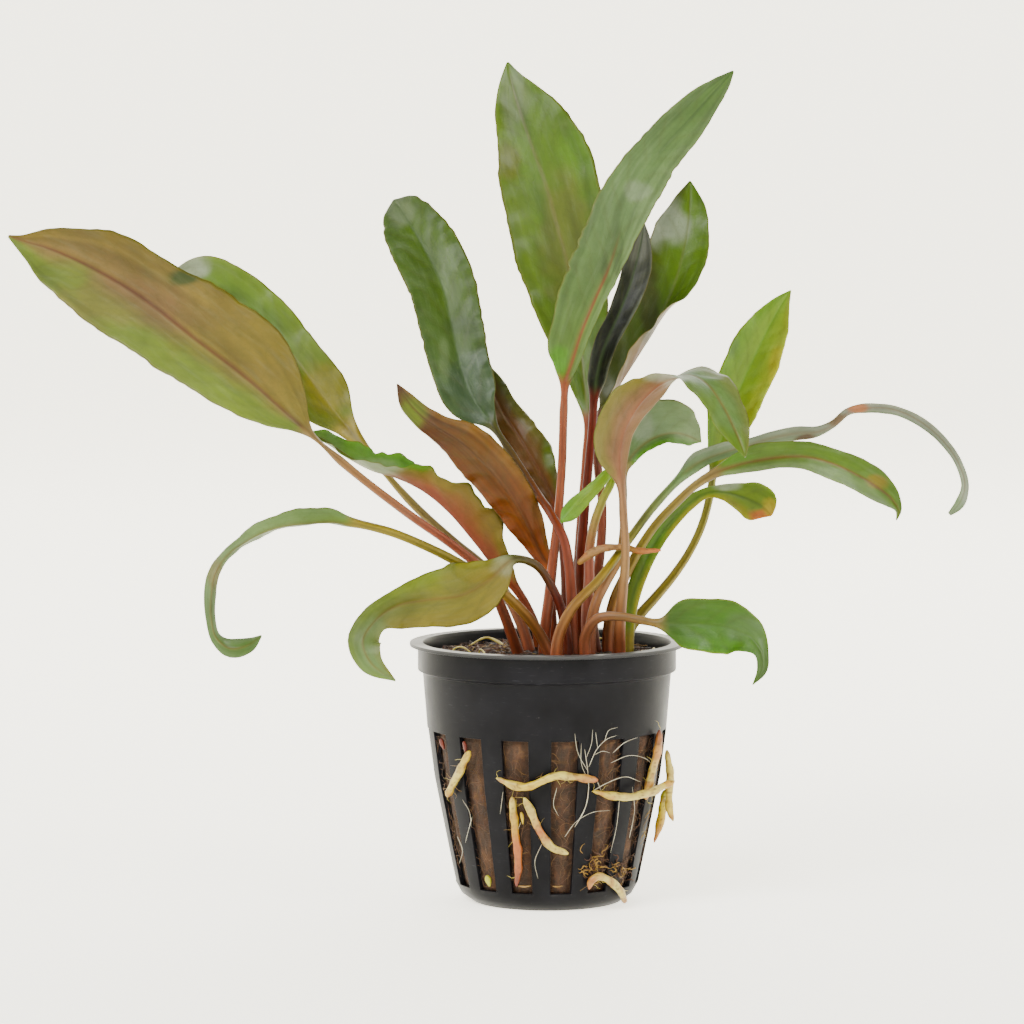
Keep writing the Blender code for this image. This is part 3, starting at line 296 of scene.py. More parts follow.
# Named colours, as 8-bit screen values, and how far the studio light makes them deeper.
SATURATION = 1.6
DEPTH = 0.44
DARKEST = 0.004
GREY_WEIGHTS = (0.3, 0.6, 0.1)
PALETTE = {
    "olive": (120, 122, 52), "taupe": (142, 124, 92), "rose_taupe": (150, 118, 98),
    "yellow_green": (134, 152, 62), "fresh_green": (150, 176, 60), "bright_green": (122, 166, 40),
    "mid_green": (108, 132, 62), "deep_green": (84, 110, 56), "dark_green": (62, 80, 42),
    "shadow_olive": (74, 74, 30), "blue_green": (92, 112, 84), "grey_green": (128, 150, 112),
    "pale_green": (158, 176, 138), "silver": (186, 194, 176), "grey": (150, 152, 140),
    "brown": (118, 86, 26), "dark_brown": (86, 60, 26), "orange_brown": (176, 110, 36),
    "red_brown": (120, 66, 50), "dark_red": (92, 46, 34), "rose_brown": (150, 96, 82),
    "salmon": (146, 92, 76), "pink": (180, 124, 110), "tan": (172, 142, 112),
    "olive_tan": (150, 138, 90), "yellow": (204, 188, 70), "orange": (206, 132, 44),
    "near_black": (46, 50, 40), "amber": (164, 128, 44),
    "root_cream": (252, 234, 170), "root_yellow": (244, 218, 122), "root_orange": (190, 126, 58),
    "root_red": (126, 66, 38), "root_pink": (242, 196, 148), "root_green": (218, 220, 120),
    "peat": (52, 38, 26), "wool_brown": (88, 60, 34), "wool_olive": (112, 86, 46),
    "wool_pink": (124, 98, 80), "fibre_tan": (176, 148, 104), "hair_white": (255, 250, 232),
}

# Linear colours of the pot and of the sweep.
POT_BLACK = (0.003, 0.003, 0.004, 1)
POT_SOFT_BLACK = (0.007, 0.007, 0.009, 1)
POT_RUBBED = (0.06, 0.06, 0.07, 1)
POT_DUST = (0.09, 0.088, 0.085, 1)
# Painted highlight for the rim's top and outer edge.
POT_RIM_HIGHLIGHT = (0.1, 0.1, 0.1, 1)
SWEEP_PALE = (0.9, 0.885, 0.82, 1)
SWEEP_GLOW = (1, 0.96, 0.82, 1)
WORLD_WHITE = (1, 0.995, 0.96, 1)

# What a look has where it says nothing else, and the shares of a half's width over which its tint grows.
PLAIN_LOOK = {"rib_end": 1.0, "teeth": 0.008, "streak": 0.12, "shade": 0.85}
TINT_SPAN = (0.15, 0.85)

# Looks of each leaf. Upper and under face and petiole are colours from base to tip. Left and right
# tint the two halves towards their margins by a strength, and may give their own span. Rib is the
# midrib's colour and strength, and rib_end the share of the blade where it fades. Wave is the height
# and length of the margin's waves, teeth the size of its teeth, streak the strength of its streaks
# and shade the brightness of the blade. Patches are (x, z, half length, half height, colour,
# strength) as the eye sees them.
# Some halves and patches below are painted sheen or painted shade, as said at each leaf.
LOOKS = {
    "leaf_front_left": {
        "finish": "leaf_olive",
        "upper": ("deep_green", "mid_green", "mid_green"), "under": ("olive_tan", "taupe", "taupe"),
        # The right half's yellow-green is painted light and the left half's olive-tan painted shade: the two
        # halves of the fold face the light differently.
        "left": ("olive_tan", 0.45), "right": ("yellow_green", 0.95, 0.0, 0.5), "rib": ("dark_red", 0.75),
        "streak": 0.25, "shade": 0.68,
        "petiole": ("rose_brown", "rose_brown", "taupe"), "wave": (0.5, 17),
        "patches": [(-72.5, 125, 3.6, 1.8, "dark_green", 0.9), (-86, 120, 14, 5, "rose_taupe", 0.35),
                    (-62, 112, 12, 5, "olive_tan", 0.45)]},
    "leaf_rear_left": {
        "finish": "leaf_olive",
        "upper": ("olive", "mid_green", "mid_green"), "under": ("taupe", "taupe", "silver"),
        "left": ("deep_green", 0.2), "right": ("yellow_green", 0.5), "rib": ("olive_tan", 0.35),
        "petiole": ("rose_brown", "taupe", "olive_tan"), "wave": (0.5, 14),
        "patches": [(-71, 127, 4, 3, "silver", 0.8), (-43, 103, 6, 5, "olive_tan", 0.6),
                    (-66, 121, 6, 2.4, "dark_green", 0.35)]},
    "leaf_folded_left": {
        "finish": "leaf_brown",
        "upper": ("olive", "bright_green", "mid_green"), "under": ("rose_brown", "rose_brown", "grey_green"),
        "left": ("yellow_green", 0.5), "right": ("bright_green", 0.45), "rib": ("red_brown", 0.6),
        "shade": 0.92, "teeth": 0.014,
        "petiole": ("salmon", "rose_brown", "rose_brown"), "wave": (0.8, 9),
        "patches": [(-26, 89, 7, 2.6, "bright_green", 0.95), (-34, 87, 5, 2, "pale_green", 0.7),
                    (-44, 92, 5, 3, "deep_green", 0.6)]},
    "leaf_brown_left": {
        "finish": "leaf_brown",
        "upper": ("orange_brown", "brown", "mid_green"), "under": ("orange_brown", "brown", "dark_brown"),
        "left": ("amber", 0.6, 0.4, 0.9), "right": ("red_brown", 0.35), "rib": ("dark_brown", 0.7),
        "shade": 0.68, "streak": 0.3, "teeth": 0.014,
        "petiole": ("red_brown", "red_brown", "orange_brown"), "wave": (0.7, 10),
        "patches": [(-27.5, 97.5, 3.2, 3.8, "yellow_green", 0.8), (-14, 91, 5, 3.5, "brown", 0.7)]},
    "leaf_green_left": {
        "finish": "leaf_green",
        "upper": ("blue_green", "mid_green", "mid_green"), "under": ("taupe", "grey_green", "grey_green"),
        "left": ("grey_green", 0.3), "right": ("deep_green", 0.25), "rib": ("deep_green", 0.4), "shade": 0.55,
        "petiole": ("rose_brown", "red_brown", "shadow_olive"), "wave": (0.45, 10), "teeth": 0.014,
        # The blue-green patch over the lower third is painted shade, where the leaf behind keeps the back
        # light off; the silver patch near the tip is painted sheen.
        "patches": [(-13.5, 103, 7.4, 8.4, "blue_green", 0.85), (-29, 138, 3, 3, "silver", 0.4),
                    (-17, 115, 3.5, 2.2, "dark_green", 0.4), (-20.5, 108.5, 1.2, 4.5, "pale_green", 0.6)]},
    "leaf_brown_rear": {
        "finish": "leaf_brown", "shade": 0.68,
        "upper": ("brown", "brown", "dark_green"), "under": ("brown", "brown", "shadow_olive"),
        "left": ("mid_green", 0.45), "right": ("brown", 0.2), "rib": ("dark_red", 0.4),
        "petiole": ("red_brown", "red_brown", "red_brown"), "wave": (1.1, 8), "teeth": 0.014,
        "patches": [(0.8, 90, 1.6, 4, "mid_green", 0.6)]},
    "leaf_tall_left": {
        "finish": "leaf_green", "shade": 0.75, "streak": 0.2,
        "upper": ("mid_green", "mid_green", "mid_green"), "under": ("taupe", "rose_taupe", "taupe"),
        "left": ("yellow_green", 0.35), "right": ("mid_green", 0.4), "rib": ("taupe", 0.35),
        "petiole": ("red_brown", "rose_brown", "salmon"), "wave": (0.55, 16),
        # The two small dark green patches low on the blade are painted shadow.
        "patches": [(3.5, 133, 5, 14, "taupe", 0.3), (4.6, 121, 2.0, 4.4, "dark_green", 0.75),
                    (2.2, 116, 1.4, 1.8, "dark_green", 0.7), (-7.5, 148, 2.4, 4, "olive", 0.7),
                    (-6.5, 160, 3, 6, "grey", 0.35), (7.5, 151, 6, 6, "bright_green", 0.25)]},
    "leaf_tall_right": {
        "finish": "leaf_grey_green",
        "upper": ("mid_green", "grey_green", "deep_green"), "under": ("taupe", "taupe", "taupe"),
        "left": ("grey_green", 0.35), "right": ("pale_green", 0.3), "rib": ("salmon", 0.9),
        "rib_end": 0.42, "teeth": 0.018, "streak": 0.28, "shade": 0.74,
        "petiole": ("rose_brown", "salmon", "salmon"), "wave": (0.4, 8),
        "patches": [(2.6, 108.6, 1.8, 3.4, "bright_green", 0.9), (14, 131, 1.2, 5, "dark_green", 0.55),
                    (11.5, 126, 0.8, 4, "dark_green", 0.5), (18, 142, 3, 2, "silver", 0.35),
                    (28, 148, 1.6, 0.8, "dark_green", 0.7)]},
    "leaf_round_right": {
        "finish": "leaf_green", "shade": 0.75,
        # The shadow olive of the base, the left half and the long patch is painted shade inside the cupped
        # blade; the silver patch is painted sheen on the curled margin.
        "upper": ("shadow_olive", "mid_green", "mid_green"), "under": ("rose_taupe", "rose_taupe", "silver"),
        "left": ("shadow_olive", 0.65), "right": ("mid_green", 0.3), "rib": ("olive", 0.4),
        "petiole": ("red_brown", "rose_brown", "dark_red"), "wave": (0.5, 12),
        "patches": [(24, 135.5, 5, 4.5, "silver", 0.75), (28.5, 128, 5, 4, "mid_green", 0.6),
                    (20.5, 118, 2, 9, "shadow_olive", 0.7)]},
    "leaf_dark_right": {
        "finish": "leaf_dark",
        # Its near-black is the leaf's dark green deepened by painted shade; the grey tip, the silver margins
        # and the grey patch are painted sheen.
        "upper": ("near_black", "near_black", "grey"), "under": ("near_black", "deep_green", "grey"),
        "left": ("silver", 0.4, 0.7, 1.0), "right": ("silver", 0.55, 0.75, 1.0), "rib": ("grey_green", 0.5),
        "streak": 0.4, "shade": 0.42,
        "petiole": ("red_brown", "dark_red", "dark_red"), "wave": (0.45, 10),
        "patches": [(17, 131, 4, 3, "grey", 0.8), (14.5, 123, 1.6, 5, "near_black", 0.7)]},
    "leaf_arching_front": {
        "finish": "leaf_grey_green", "shade": 0.95,
        "upper": ("mid_green", "grey_green", "mid_green"), "under": ("rose_taupe", "rose_taupe", "grey"),
        "left": ("taupe", 0.35), "right": ("yellow_green", 0.45), "rib": ("rose_brown", 0.45),
        "petiole": ("rose_brown", "tan", "rose_taupe"), "wave": (0.35, 12),
        # The silver patch is a painted highlight on the crest of the arch.
        "patches": [(24, 105.5, 5, 2, "silver", 0.55), (31.5, 92, 2.4, 5, "yellow_green", 0.7),
                    (36, 98, 3, 4, "grey_green", 0.5)]},
    "leaf_small_right": {
        "finish": "leaf_grey_green", "shade": 0.8,
        # The silver patch and the pale left half are painted sheen, and the grey-green face is partly
        # whitened by painted sheen.
        "upper": ("grey_green", "grey_green", "pale_green"), "under": ("taupe", "grey_green", "silver"),
        "left": ("pale_green", 0.4), "right": ("bright_green", 0.9), "rib": ("taupe", 0.5),
        "petiole": ("rose_brown", "tan", "taupe"), "wave": (0.5, 9),
        "patches": [(19, 95.5, 3, 3, "silver", 0.4)]},
    "leaf_bright_right": {
        "finish": "leaf_bright",
        "upper": ("yellow_green", "fresh_green", "fresh_green"),
        "under": ("yellow_green", "grey_green", "grey"),
        "left": ("bright_green", 0.4), "right": ("yellow", 0.3), "rib": ("bright_green", 0.35),
        "petiole": ("olive_tan", "olive_tan", "olive"), "wave": (0.4, 13),
        "patches": [(36, 112, 2.2, 3.4, "grey_green", 0.5), (46, 106, 2, 5, "yellow", 0.45)]},
    "leaf_brown_rib_right": {
        "finish": "leaf_green",
        "upper": ("mid_green", "mid_green", "mid_green"), "under": ("taupe", "grey_green", "pale_green"),
        "left": ("mid_green", 0.5), "right": ("pale_green", 0.7), "rib": ("brown", 0.8),
        "petiole": ("rose_brown", "olive_tan", "taupe"), "wave": (0.4, 9),
        "patches": [(66, 84, 2, 1.4, "amber", 0.5), (38, 88.5, 5, 1.4, "bright_green", 0.5)]},
    "leaf_young_centre": {
        "finish": "leaf_bright",
        "upper": ("fresh_green", "fresh_green", "bright_green"),
        "under": ("fresh_green", "fresh_green", "bright_green"),
        "left": ("bright_green", 0.3), "right": ("fresh_green", 0.3), "rib": ("yellow_green", 0.3),
        "petiole": ("pink", "pink", "fresh_green"), "wave": (0.15, 6), "patches": []},
    "leaf_withered_right": {
        "finish": "leaf_pale",
        "upper": ("grey_green", "grey", "silver"), "under": ("grey", "silver", "silver"),
        "left": ("silver", 0.4), "right": ("grey_green", 0.4), "rib": ("brown", 0.35),
        "petiole": ("rose_brown", "olive_tan", "grey_green"), "wave": (0.5, 6),
        "patches": [(51.5, 92.5, 3, 1.1, "dark_brown", 0.85), (58, 96.4, 2.2, 1.4, "brown", 0.7),
                    (62, 99, 2.4, 1.0, "orange", 0.7), (81.5, 79, 2, 2, "grey_green", 0.6)]},
    "leaf_yellow_tip": {
        "finish": "leaf_bright",
        "upper": ("yellow_green", "mid_green", "yellow_green"), "under": ("olive", "mid_green", "mid_green"),
        "left": ("mid_green", 0.3), "right": ("yellow", 0.5), "rib": ("dark_green", 0.5),
        "petiole": ("olive_tan", "olive_tan", "olive_tan"), "wave": (0.35, 7),
        "patches": [(36, 83.5, 3, 1.4, "silver", 0.7), (43.2, 77.2, 2.6, 1.5, "orange", 0.9),
                    (44.5, 79, 1.4, 2, "yellow", 0.8), (22, 71, 4, 5, "bright_green", 0.5)]},
    "leaf_low_right": {
        "finish": "leaf_bright",
        "upper": ("deep_green", "bright_green", "mid_green"),
        "under": ("grey_green", "pale_green", "grey_green"),
        "left": ("mid_green", 0.4), "right": ("bright_green", 0.5), "rib": ("mid_green", 0.35),
        "shade": 0.55, "petiole": ("rose_brown", "rose_taupe", "taupe"), "wave": (0.35, 13),
        "patches": [(39, 55, 4, 3, "grey_green", 0.55), (43, 47.5, 1.6, 4, "grey_green", 0.6)]},
    "leaf_drooping_left": {
        "finish": "leaf_olive", "shade": 0.9,
        "upper": ("deep_green", "mid_green", "mid_green"), "under": ("olive_tan", "olive", "grey_green"),
        "left": ("yellow_green", 0.6), "right": ("olive_tan", 0.6), "rib": ("brown", 0.5),
        "petiole": ("red_brown", "dark_red", "shadow_olive"), "wave": (0.4, 11),
        # The silver patch is a painted highlight at the base of the blade.
        "patches": [(-8.5, 67.4, 2.6, 2.6, "silver", 0.6), (-14, 66.5, 7, 3, "olive_tan", 0.5),
                    (-35, 51, 4, 6, "grey_green", 0.5)]},
    "leaf_curled_left": {
        "finish": "leaf_pale",
        "upper": ("mid_green", "grey_green", "deep_green"),
        "under": ("mid_green", "pale_green", "deep_green"),
        "left": ("grey_green", 0.4), "right": ("silver", 0.35), "rib": ("brown", 0.45),
        "petiole": ("rose_brown", "olive_tan", "olive_tan"), "wave": (0.35, 7),
        "patches": [(-62, 51, 4, 2, "deep_green", 0.7), (-66.5, 66, 1.6, 4, "rose_taupe", 0.4)]},
}

# Old runner, with its radii from end to end.
RUNNER = [(6.2, 67.6, -8.4), (8.6, 69.6, -8.0), (12.0, 70.8, -7.8), (15.0, 70.9, -7.6),
          (19.0, 70.2, -7.4), (22.8, 70.3, -7.0)]
RUNNER_RADII = (0.75, 0.8, 0.75, 0.65, 0.6, 0.4)

# Roots on the pot, as (x, z, lift off the wall), with their colours from end to end. A root's
# first and last radius are shares of the full one.
ROOT_RADIUS = 0.78
ROOT_ENDS = {
    "root_left": (0.8, 0.9), "root_front_level": (0.35, 0.75), "root_front_upright": (0.8, 0.4),
    "root_front_slanting": (0.6, 0.7), "root_right_level": (0.4, 0.8), "root_right_upright": (0.6, 0.7),
    "root_right_outer": (0.7, 0.5), "root_right_taper": (0.9, 0.3), "root_low_right": (0.5, 0.55)}
TUBE_SIDES = 16
TUBE_SPACING = 0.35
TUBE_WOBBLE = 0.22
ROOTS = {
    "root_left": ([(-15.5, 29.8, 1.2), (-16.8, 27.2, 1.2), (-18.5, 23.8, 1.2), (-20.0, 20.7, 1.3)],
                  ("root_yellow", "root_cream", "root_yellow")),
    "root_front_level": ([(-10.2, 24.4, 1.3), (-7.4, 23.2, 1.3), (-4.2, 22.5, 1.3), (-0.8, 23.8, 1.4),
                          (2.4, 24.9, 1.4), (5.3, 24.6, 1.3), (8.2, 24.2, 1.3), (10.2, 23.9, 1.2)],
                         ("root_cream", "root_yellow", "root_cream", "root_orange")),
    "root_front_upright": ([(-7.0, 20.5, 0.6), (-6.6, 16.0, 0.3), (-6.2, 12.6, 0.3), (-5.8, 9.2, 0.3),
                            (-5.8, 5.9, 0.3), (-6.1, 2.4, 0.4)],
                           ("root_cream", "root_yellow", "root_orange", "root_orange", "root_red")),
    "root_front_slanting": ([(-4.6, 20.4, 1.2), (-3.6, 18.4, 1.2), (-2.2, 15.3, 1.2), (-0.8, 12.6, 1.3),
                             (1.2, 10.2, 1.4), (4.3, 9.0, 1.4)],
                            ("root_cream", "root_cream", "root_orange", "root_cream", "root_cream")),
    "root_right_level": ([(9.2, 21.7, 1.2), (13.2, 20.8, 1.3), (16.5, 20.5, 1.9), (19.9, 21.2, 3.1),
                          (23.1, 22.6, 3.5), (25.6, 23.8, 4.8)],
                         ("root_yellow", "root_cream", "root_cream", "root_yellow")),
    "root_right_upright": ([(22.6, 34.1, 1.1), (22.4, 31.1, 1.1), (21.7, 27.7, 1.1), (21.0, 25.0, 1.1),
                            (20.5, 22.8, 1.1), (19.9, 20.0, 1.2)],
                           ("root_red", "root_pink", "root_cream", "root_pink")),
    "root_right_outer": ([(24.1, 30.0, 1.6), (24.7, 26.0, 2.6), (24.6, 21.7, 3.2), (24.6, 18.7, 3.9),
                          (25.4, 15.7, 5.2)], ("root_cream", "root_cream", "root_yellow")),
    "root_right_taper": ([(23.8, 21.9, 2.0), (23.2, 18.0, 2.0), (22.6, 14.6, 2.2), (21.6, 11.3, 2.0)],
                         ("root_green", "root_yellow", "root_orange")),
    "root_low_right": ([(8.5, 1.8, 1.1), (9.0, 3.6, 1.2), (10.2, 4.4, 1.2), (11.9, 4.0, 1.3),
                        (13.5, 2.9, 1.5), (14.9, 1.2, 1.8), (15.8, -0.9, 2.2)],
                       ("root_orange", "root_cream", "root_cream", "root_orange")),
}

# Fine roots over the wall: radius, then (x, z) points.
HAIRS = [
    (0.13, [(8.3, 24.0), (7.0, 27.0), (6.9, 31.4)]),
    (0.12, [(8.0, 28.6), (9.0, 31.6), (9.2, 34.2)]),
    (0.12, [(9.4, 29.0), (11.2, 29.8), (12.8, 29.4)]),
    (0.12, [(11.6, 31.9), (12.4, 34.0), (14.2, 34.6)]),
    (0.12, [(12.8, 27.4), (16.0, 28.8), (19.6, 28.4), (22.0, 26.6)]),
    (0.12, [(-17.0, 20.0), (-15.6, 17.6), (-15.2, 14.4)]),
    (0.12, [(-1.0, 11.0), (-2.4, 7.4), (-1.8, 4.0)]),
    (0.16, [(-18.0, 12.5), (-17.0, 10.0), (-17.6, 7.0)]),
    (0.22, [(5.6, 14.4), (7.8, 18.6), (8.4, 22.4), (8.2, 25.8), (7.6, 30.2)]),
    (0.13, [(8.2, 25.8), (6.2, 29.6), (5.6, 33.4)]),
    (0.15, [(8.4, 26.6), (10.2, 30.4), (12.0, 32.2), (14.0, 33.0)]),
    (0.13, [(10.2, 30.4), (9.8, 33.6)]),
    (0.16, [(13.2, 29.4), (15.4, 31.4), (18.2, 32.6)]),
    (0.18, [(9.0, 21.6), (11.8, 23.2), (15.6, 24.6), (18.8, 23.6)]),
    (0.12, [(14.6, 19.8), (14.0, 14.4), (12.8, 9.2)]),
    (0.14, [(-15.0, 16.5), (-15.8, 13.6), (-16.4, 11.2)]),
    (0.12, [(-5.2, 15.4), (-6.4, 12.6)]),
    (0.13, [(-8.8, 21.6), (-9.4, 17.0)]),
    (0.12, [(2.0, 22.4), (1.4, 18.6), (2.4, 16.6)]),
    (0.20, [(10.2, 23.6), (10.9, 21.8)]),
    (0.12, [(3.6, 12.4), (6.0, 15.6), (9.2, 17.4), (12.6, 17.8)]),
    (0.14, [(16.6, 12.2), (17.6, 17.6), (17.2, 22.6)]),
]
# Short stubs in the slots: radius, (x, z) points and colour. The last two are painted glints, pale strands
# where light shows through the bottoms of slots.
STUBS = [
    (0.75, [(-12.0, 4.6), (-11.8, 3.6), (-11.5, 2.4)], "root_green"),
    (0.45, [(-5.2, 17.4), (-4.9, 16.2), (-4.8, 15.0)], "root_yellow"),
    (0.7, [(-21.2, 32.4), (-21.0, 31.4), (-20.6, 30.2)], "root_red"),
    (0.55, [(-16.7, 31.8), (-16.4, 30.6), (-16.2, 29.4)], "root_red"),
    (0.6, [(23.2, 33.2), (23.6, 32.2), (23.4, 31.0)], "root_red"),
    # Painted glints at the bottoms of two slots.
    (0.2, [(-5.8, 2.5), (-4.4, 2.3), (-3.2, 2.5)], "fibre_tan"),
    (0.18, [(1.2, 2.4), (2.2, 2.3), (3.2, 2.5)], "fibre_tan"),
]
HAIR_SHARE = 0.5
HAIR_LIFT = 0.35

# Rootlets that lie over the soil: (x, y, z) points.
ROOTLETS = [
    (0.24, [(-19.5, -9.0, 49.6), (-18.2, -11.0, 51.8), (-16.4, -13.5, 52.2), (-14.2, -15.2, 50.4)]),
    (0.20, [(-14.0, -12.0, 49.4), (-13.2, -14.8, 52.0), (-12.4, -17.6, 51.4), (-12.6, -19.6, 49.6)]),
    (0.30, [(18.4, -8.0, 49.4), (18.8, -11.0, 51.2), (19.4, -13.0, 50.6)]),
    (0.26, [(21.0, -4.0, 49.4), (21.2, -7.6, 51.4), (20.4, -10.6, 50.0)]),
    (0.32, [(-8.0, 14.0, 49.4), (-12.0, 15.5, 51.0), (-16.0, 12.0, 49.6)]),
    (0.28, [(6.0, 17.5, 49.4), (11.0, 16.5, 50.8), (15.5, 12.5, 49.6)]),
]

rng = np.random.default_rng(11)


def linear(name):
    """Linear colour of a palette name, deepened for the bright studio light."""
    values = np.array(PALETTE[name]) / 255
    values = np.where(values <= 0.04045, values / 12.92, ((values + 0.055) / 1.055) ** 2.4)
    grey = values @ GREY_WEIGHTS
    return np.clip(grey + (values - grey) * SATURATION, DARKEST, 1) * DEPTH


def place(x, z, y):
    """Point that the eye sees at (x, z) on the plane through the axis, but y behind that plane."""
    seen = np.array([x, 0.0, z])
    return EYE + (seen - EYE) * (1 + y / -EYE[1])


def seen_at(points):
    """The (x, z) on the plane through the axis at which the eye sees each point."""
    share = -EYE[1] / (points[:, 1] - EYE[1])
    return EYE[[0, 2]] + (points[:, [0, 2]] - EYE[[0, 2]]) * share[:, None]


def wall_radius(height):
    return np.interp(height, [h for _, h in POT_OUTER], [r for r, _ in POT_OUTER])


def on_pot(x, z, lift):
    """Point seen at (x, z) whose distance from the pot's outer skin is lift, found in a few rounds."""
    y = -wall_radius(START_HEIGHT)
    for _ in range(8):
        spot = place(x, z, y)
        y = -math.sqrt(max((wall_radius(spot[2]) + lift) ** 2 - spot[0] ** 2, 0))
    return place(x, z, y)


def on_wall(x, z, lift):
    """Point on the half of the wall that faces the eye, kept clear of its outline."""
    limit = OUTLINE_SHARE * (wall_radius(z) + lift)
    return on_pot(min(max(x, -limit), limit), z, lift)


def flow(rows, spots):
    """Smooth curve through rows of channels, read at spots from 0 to 1 of its length."""
    rows = np.asarray(rows, float)
    length = np.concatenate([[0], np.cumsum(np.linalg.norm(np.diff(rows[:, :3], axis=0), axis=1))])
    slope = np.gradient(rows, length, axis=0)
    at = np.asarray(spots) * length[-1]
    first = np.clip(np.searchsorted(length, at, side="right") - 1, 0, len(length) - 2)
    span = (length[first + 1] - length[first])[:, None]
    t = (at - length[first])[:, None] / span
    keep = (2 * t ** 3 - 3 * t ** 2 + 1) * rows[first] + (3 * t ** 2 - 2 * t ** 3) * rows[first + 1]
    lean = (t ** 3 - 2 * t ** 2 + t) * slope[first] + (t ** 3 - t ** 2) * slope[first + 1]
    return keep + lean * span


def unit(vectors):
    return vectors / np.linalg.norm(vectors, axis=-1, keepdims=True)


def step(low, high, value):
    t = np.clip((value - low) / (high - low), 0, 1)
    return t * t * (3 - 2 * t)


def blend(colours, t):
    """Colour at t from 0 to 1 along evenly spaced named colours."""
    table = np.array([linear(c) for c in colours])
    at = np.linspace(0, 1, len(colours))
    return np.stack([np.interp(t, at, table[:, k]) for k in range(3)], axis=-1)


def rough(points, scale, seed):
    """Smooth noise at each point, about -1 to 1."""
    shift = Vector((seed * 7.3, seed * 3.1, seed * 5.7))
    return np.array([noise.noise(Vector(p) * scale + shift) for p in points])


def add_piece(name, points, faces, material, colours=None, channels=None):
    """Smooth mesh object in millimetres with its per-point colours and other channels."""
    mesh = bpy.data.meshes.new(name)
    mesh.from_pydata((np.asarray(points) * MM).tolist(), [], faces)
    mesh.shade_smooth()
    mesh.materials.append(material)
    if colours is not None:
        tint = mesh.attributes.new("tint", "FLOAT_COLOR", "POINT")
        tint.data.foreach_set("color", np.column_stack([colours, np.ones(len(colours))]).ravel())
    for key, values in (channels or {}).items():
        values = np.asarray(values, float)
        kind = "FLOAT_VECTOR" if values.ndim == 2 else "FLOAT"
        layer = mesh.attributes.new(key, kind, "POINT")
        layer.data.foreach_set("vector" if values.ndim == 2 else "value", values.ravel())
    thing = bpy.data.objects.new(name, mesh)
    bpy.context.scene.collection.objects.link(thing)
    return thing


def settle(piece, slot, *nodes):
    """The piece rides on the plant's one body, in place of its solids."""
    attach(piece, "root")
    if nodes:
        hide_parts(*nodes)


def face_outward(piece):
    work = bmesh.new()
    work.from_mesh(piece.data)
    bmesh.ops.recalc_face_normals(work, faces=work.faces)
    work.to_mesh(piece.data)
    work.free()


def ring_faces(rings, sides, closed=True):
    """Quads between rings of points laid one after another. The first end is closed, the last if asked."""
    faces = [(r * sides + k, (r + 1) * sides + k, (r + 1) * sides + (k + 1) % sides,
              r * sides + (k + 1) % sides) for r in range(rings - 1) for k in range(sides)]
    faces.append(tuple(range(sides)))
    if closed:
        faces.append(tuple(reversed([(rings - 1) * sides + k for k in range(sides)])))
    return faces


class Shader:
    """Small builder for a material's nodes."""

    def __init__(self, name):
        self.material = bpy.data.materials.new(name)
        self.material.use_nodes = True
        self.tree = self.material.node_tree
        self.surface = self.tree.nodes["Principled BSDF"]

    def put(self, socket, value):
        if isinstance(value, bpy.types.NodeSocket):
            self.tree.links.new(value, socket)
        elif value is not None:
            socket.default_value = value

    def surface_values(self, **values):
        for key, value in values.items():
            self.put(self.surface.inputs[key.replace("_", " ")], value)

    def attribute(self, name, output="Color"):
        node = self.tree.nodes.new("ShaderNodeAttribute")
        node.attribute_name = name
        return node.outputs[output]

    def place(self):
        return self.tree.nodes.new("ShaderNodeTexCoord").outputs["Object"]

    def stretch(self, vector, scale):
        node = self.tree.nodes.new("ShaderNodeMapping")
        self.put(node.inputs["Vector"], vector)
        node.inputs["Scale"].default_value = scale
        return node.outputs["Vector"]

    def noise(self, vector, scale, detail=3.0, roughness=0.55):
        node = self.tree.nodes.new("ShaderNodeTexNoise")
        self.put(node.inputs["Vector"], vector)
        node.inputs["Scale"].default_value = scale
        node.inputs["Detail"].default_value = detail
        node.inputs["Roughness"].default_value = roughness
        return node.outputs["Fac"]

    def cells(self, vector, scale):
        node = self.tree.nodes.new("ShaderNodeTexVoronoi")
        node.feature = "DISTANCE_TO_EDGE"
        self.put(node.inputs["Vector"], vector)
        node.inputs["Scale"].default_value = scale
        return node.outputs["Distance"]

    def range(self, value, low, high, to_low=0.0, to_high=1.0):
        node = self.tree.nodes.new("ShaderNodeMapRange")
        self.put(node.inputs["Value"], value)
        for key, number in zip(("From Min", "From Max", "To Min", "To Max"), (low, high, to_low, to_high)):
            node.inputs[key].default_value = number
        return node.outputs["Result"]

    def math(self, operation, first, second):
        node = self.tree.nodes.new("ShaderNodeMath")
        node.operation = operation
        self.put(node.inputs[0], first)
        self.put(node.inputs[1], second)
        return node.outputs["Value"]

    def mix(self, share, first, second, kind="MIX"):
        node = self.tree.nodes.new("ShaderNodeMix")
        node.data_type = "RGBA"
        node.blend_type = kind
        self.put(node.inputs[0], share)
        for socket, value in ((node.inputs[6], first), (node.inputs[7], second)):
            self.put(socket, (*linear(value), 1) if isinstance(value, str) else value)
        return node.outputs[2]

    def bump(self, height, strength, distance):
        node = self.tree.nodes.new("ShaderNodeBump")
        node.inputs["Strength"].default_value = strength
        node.inputs["Distance"].default_value = distance * MM
        self.put(node.inputs["Height"], height)
        self.put(self.surface.inputs["Normal"], node.outputs["Normal"])


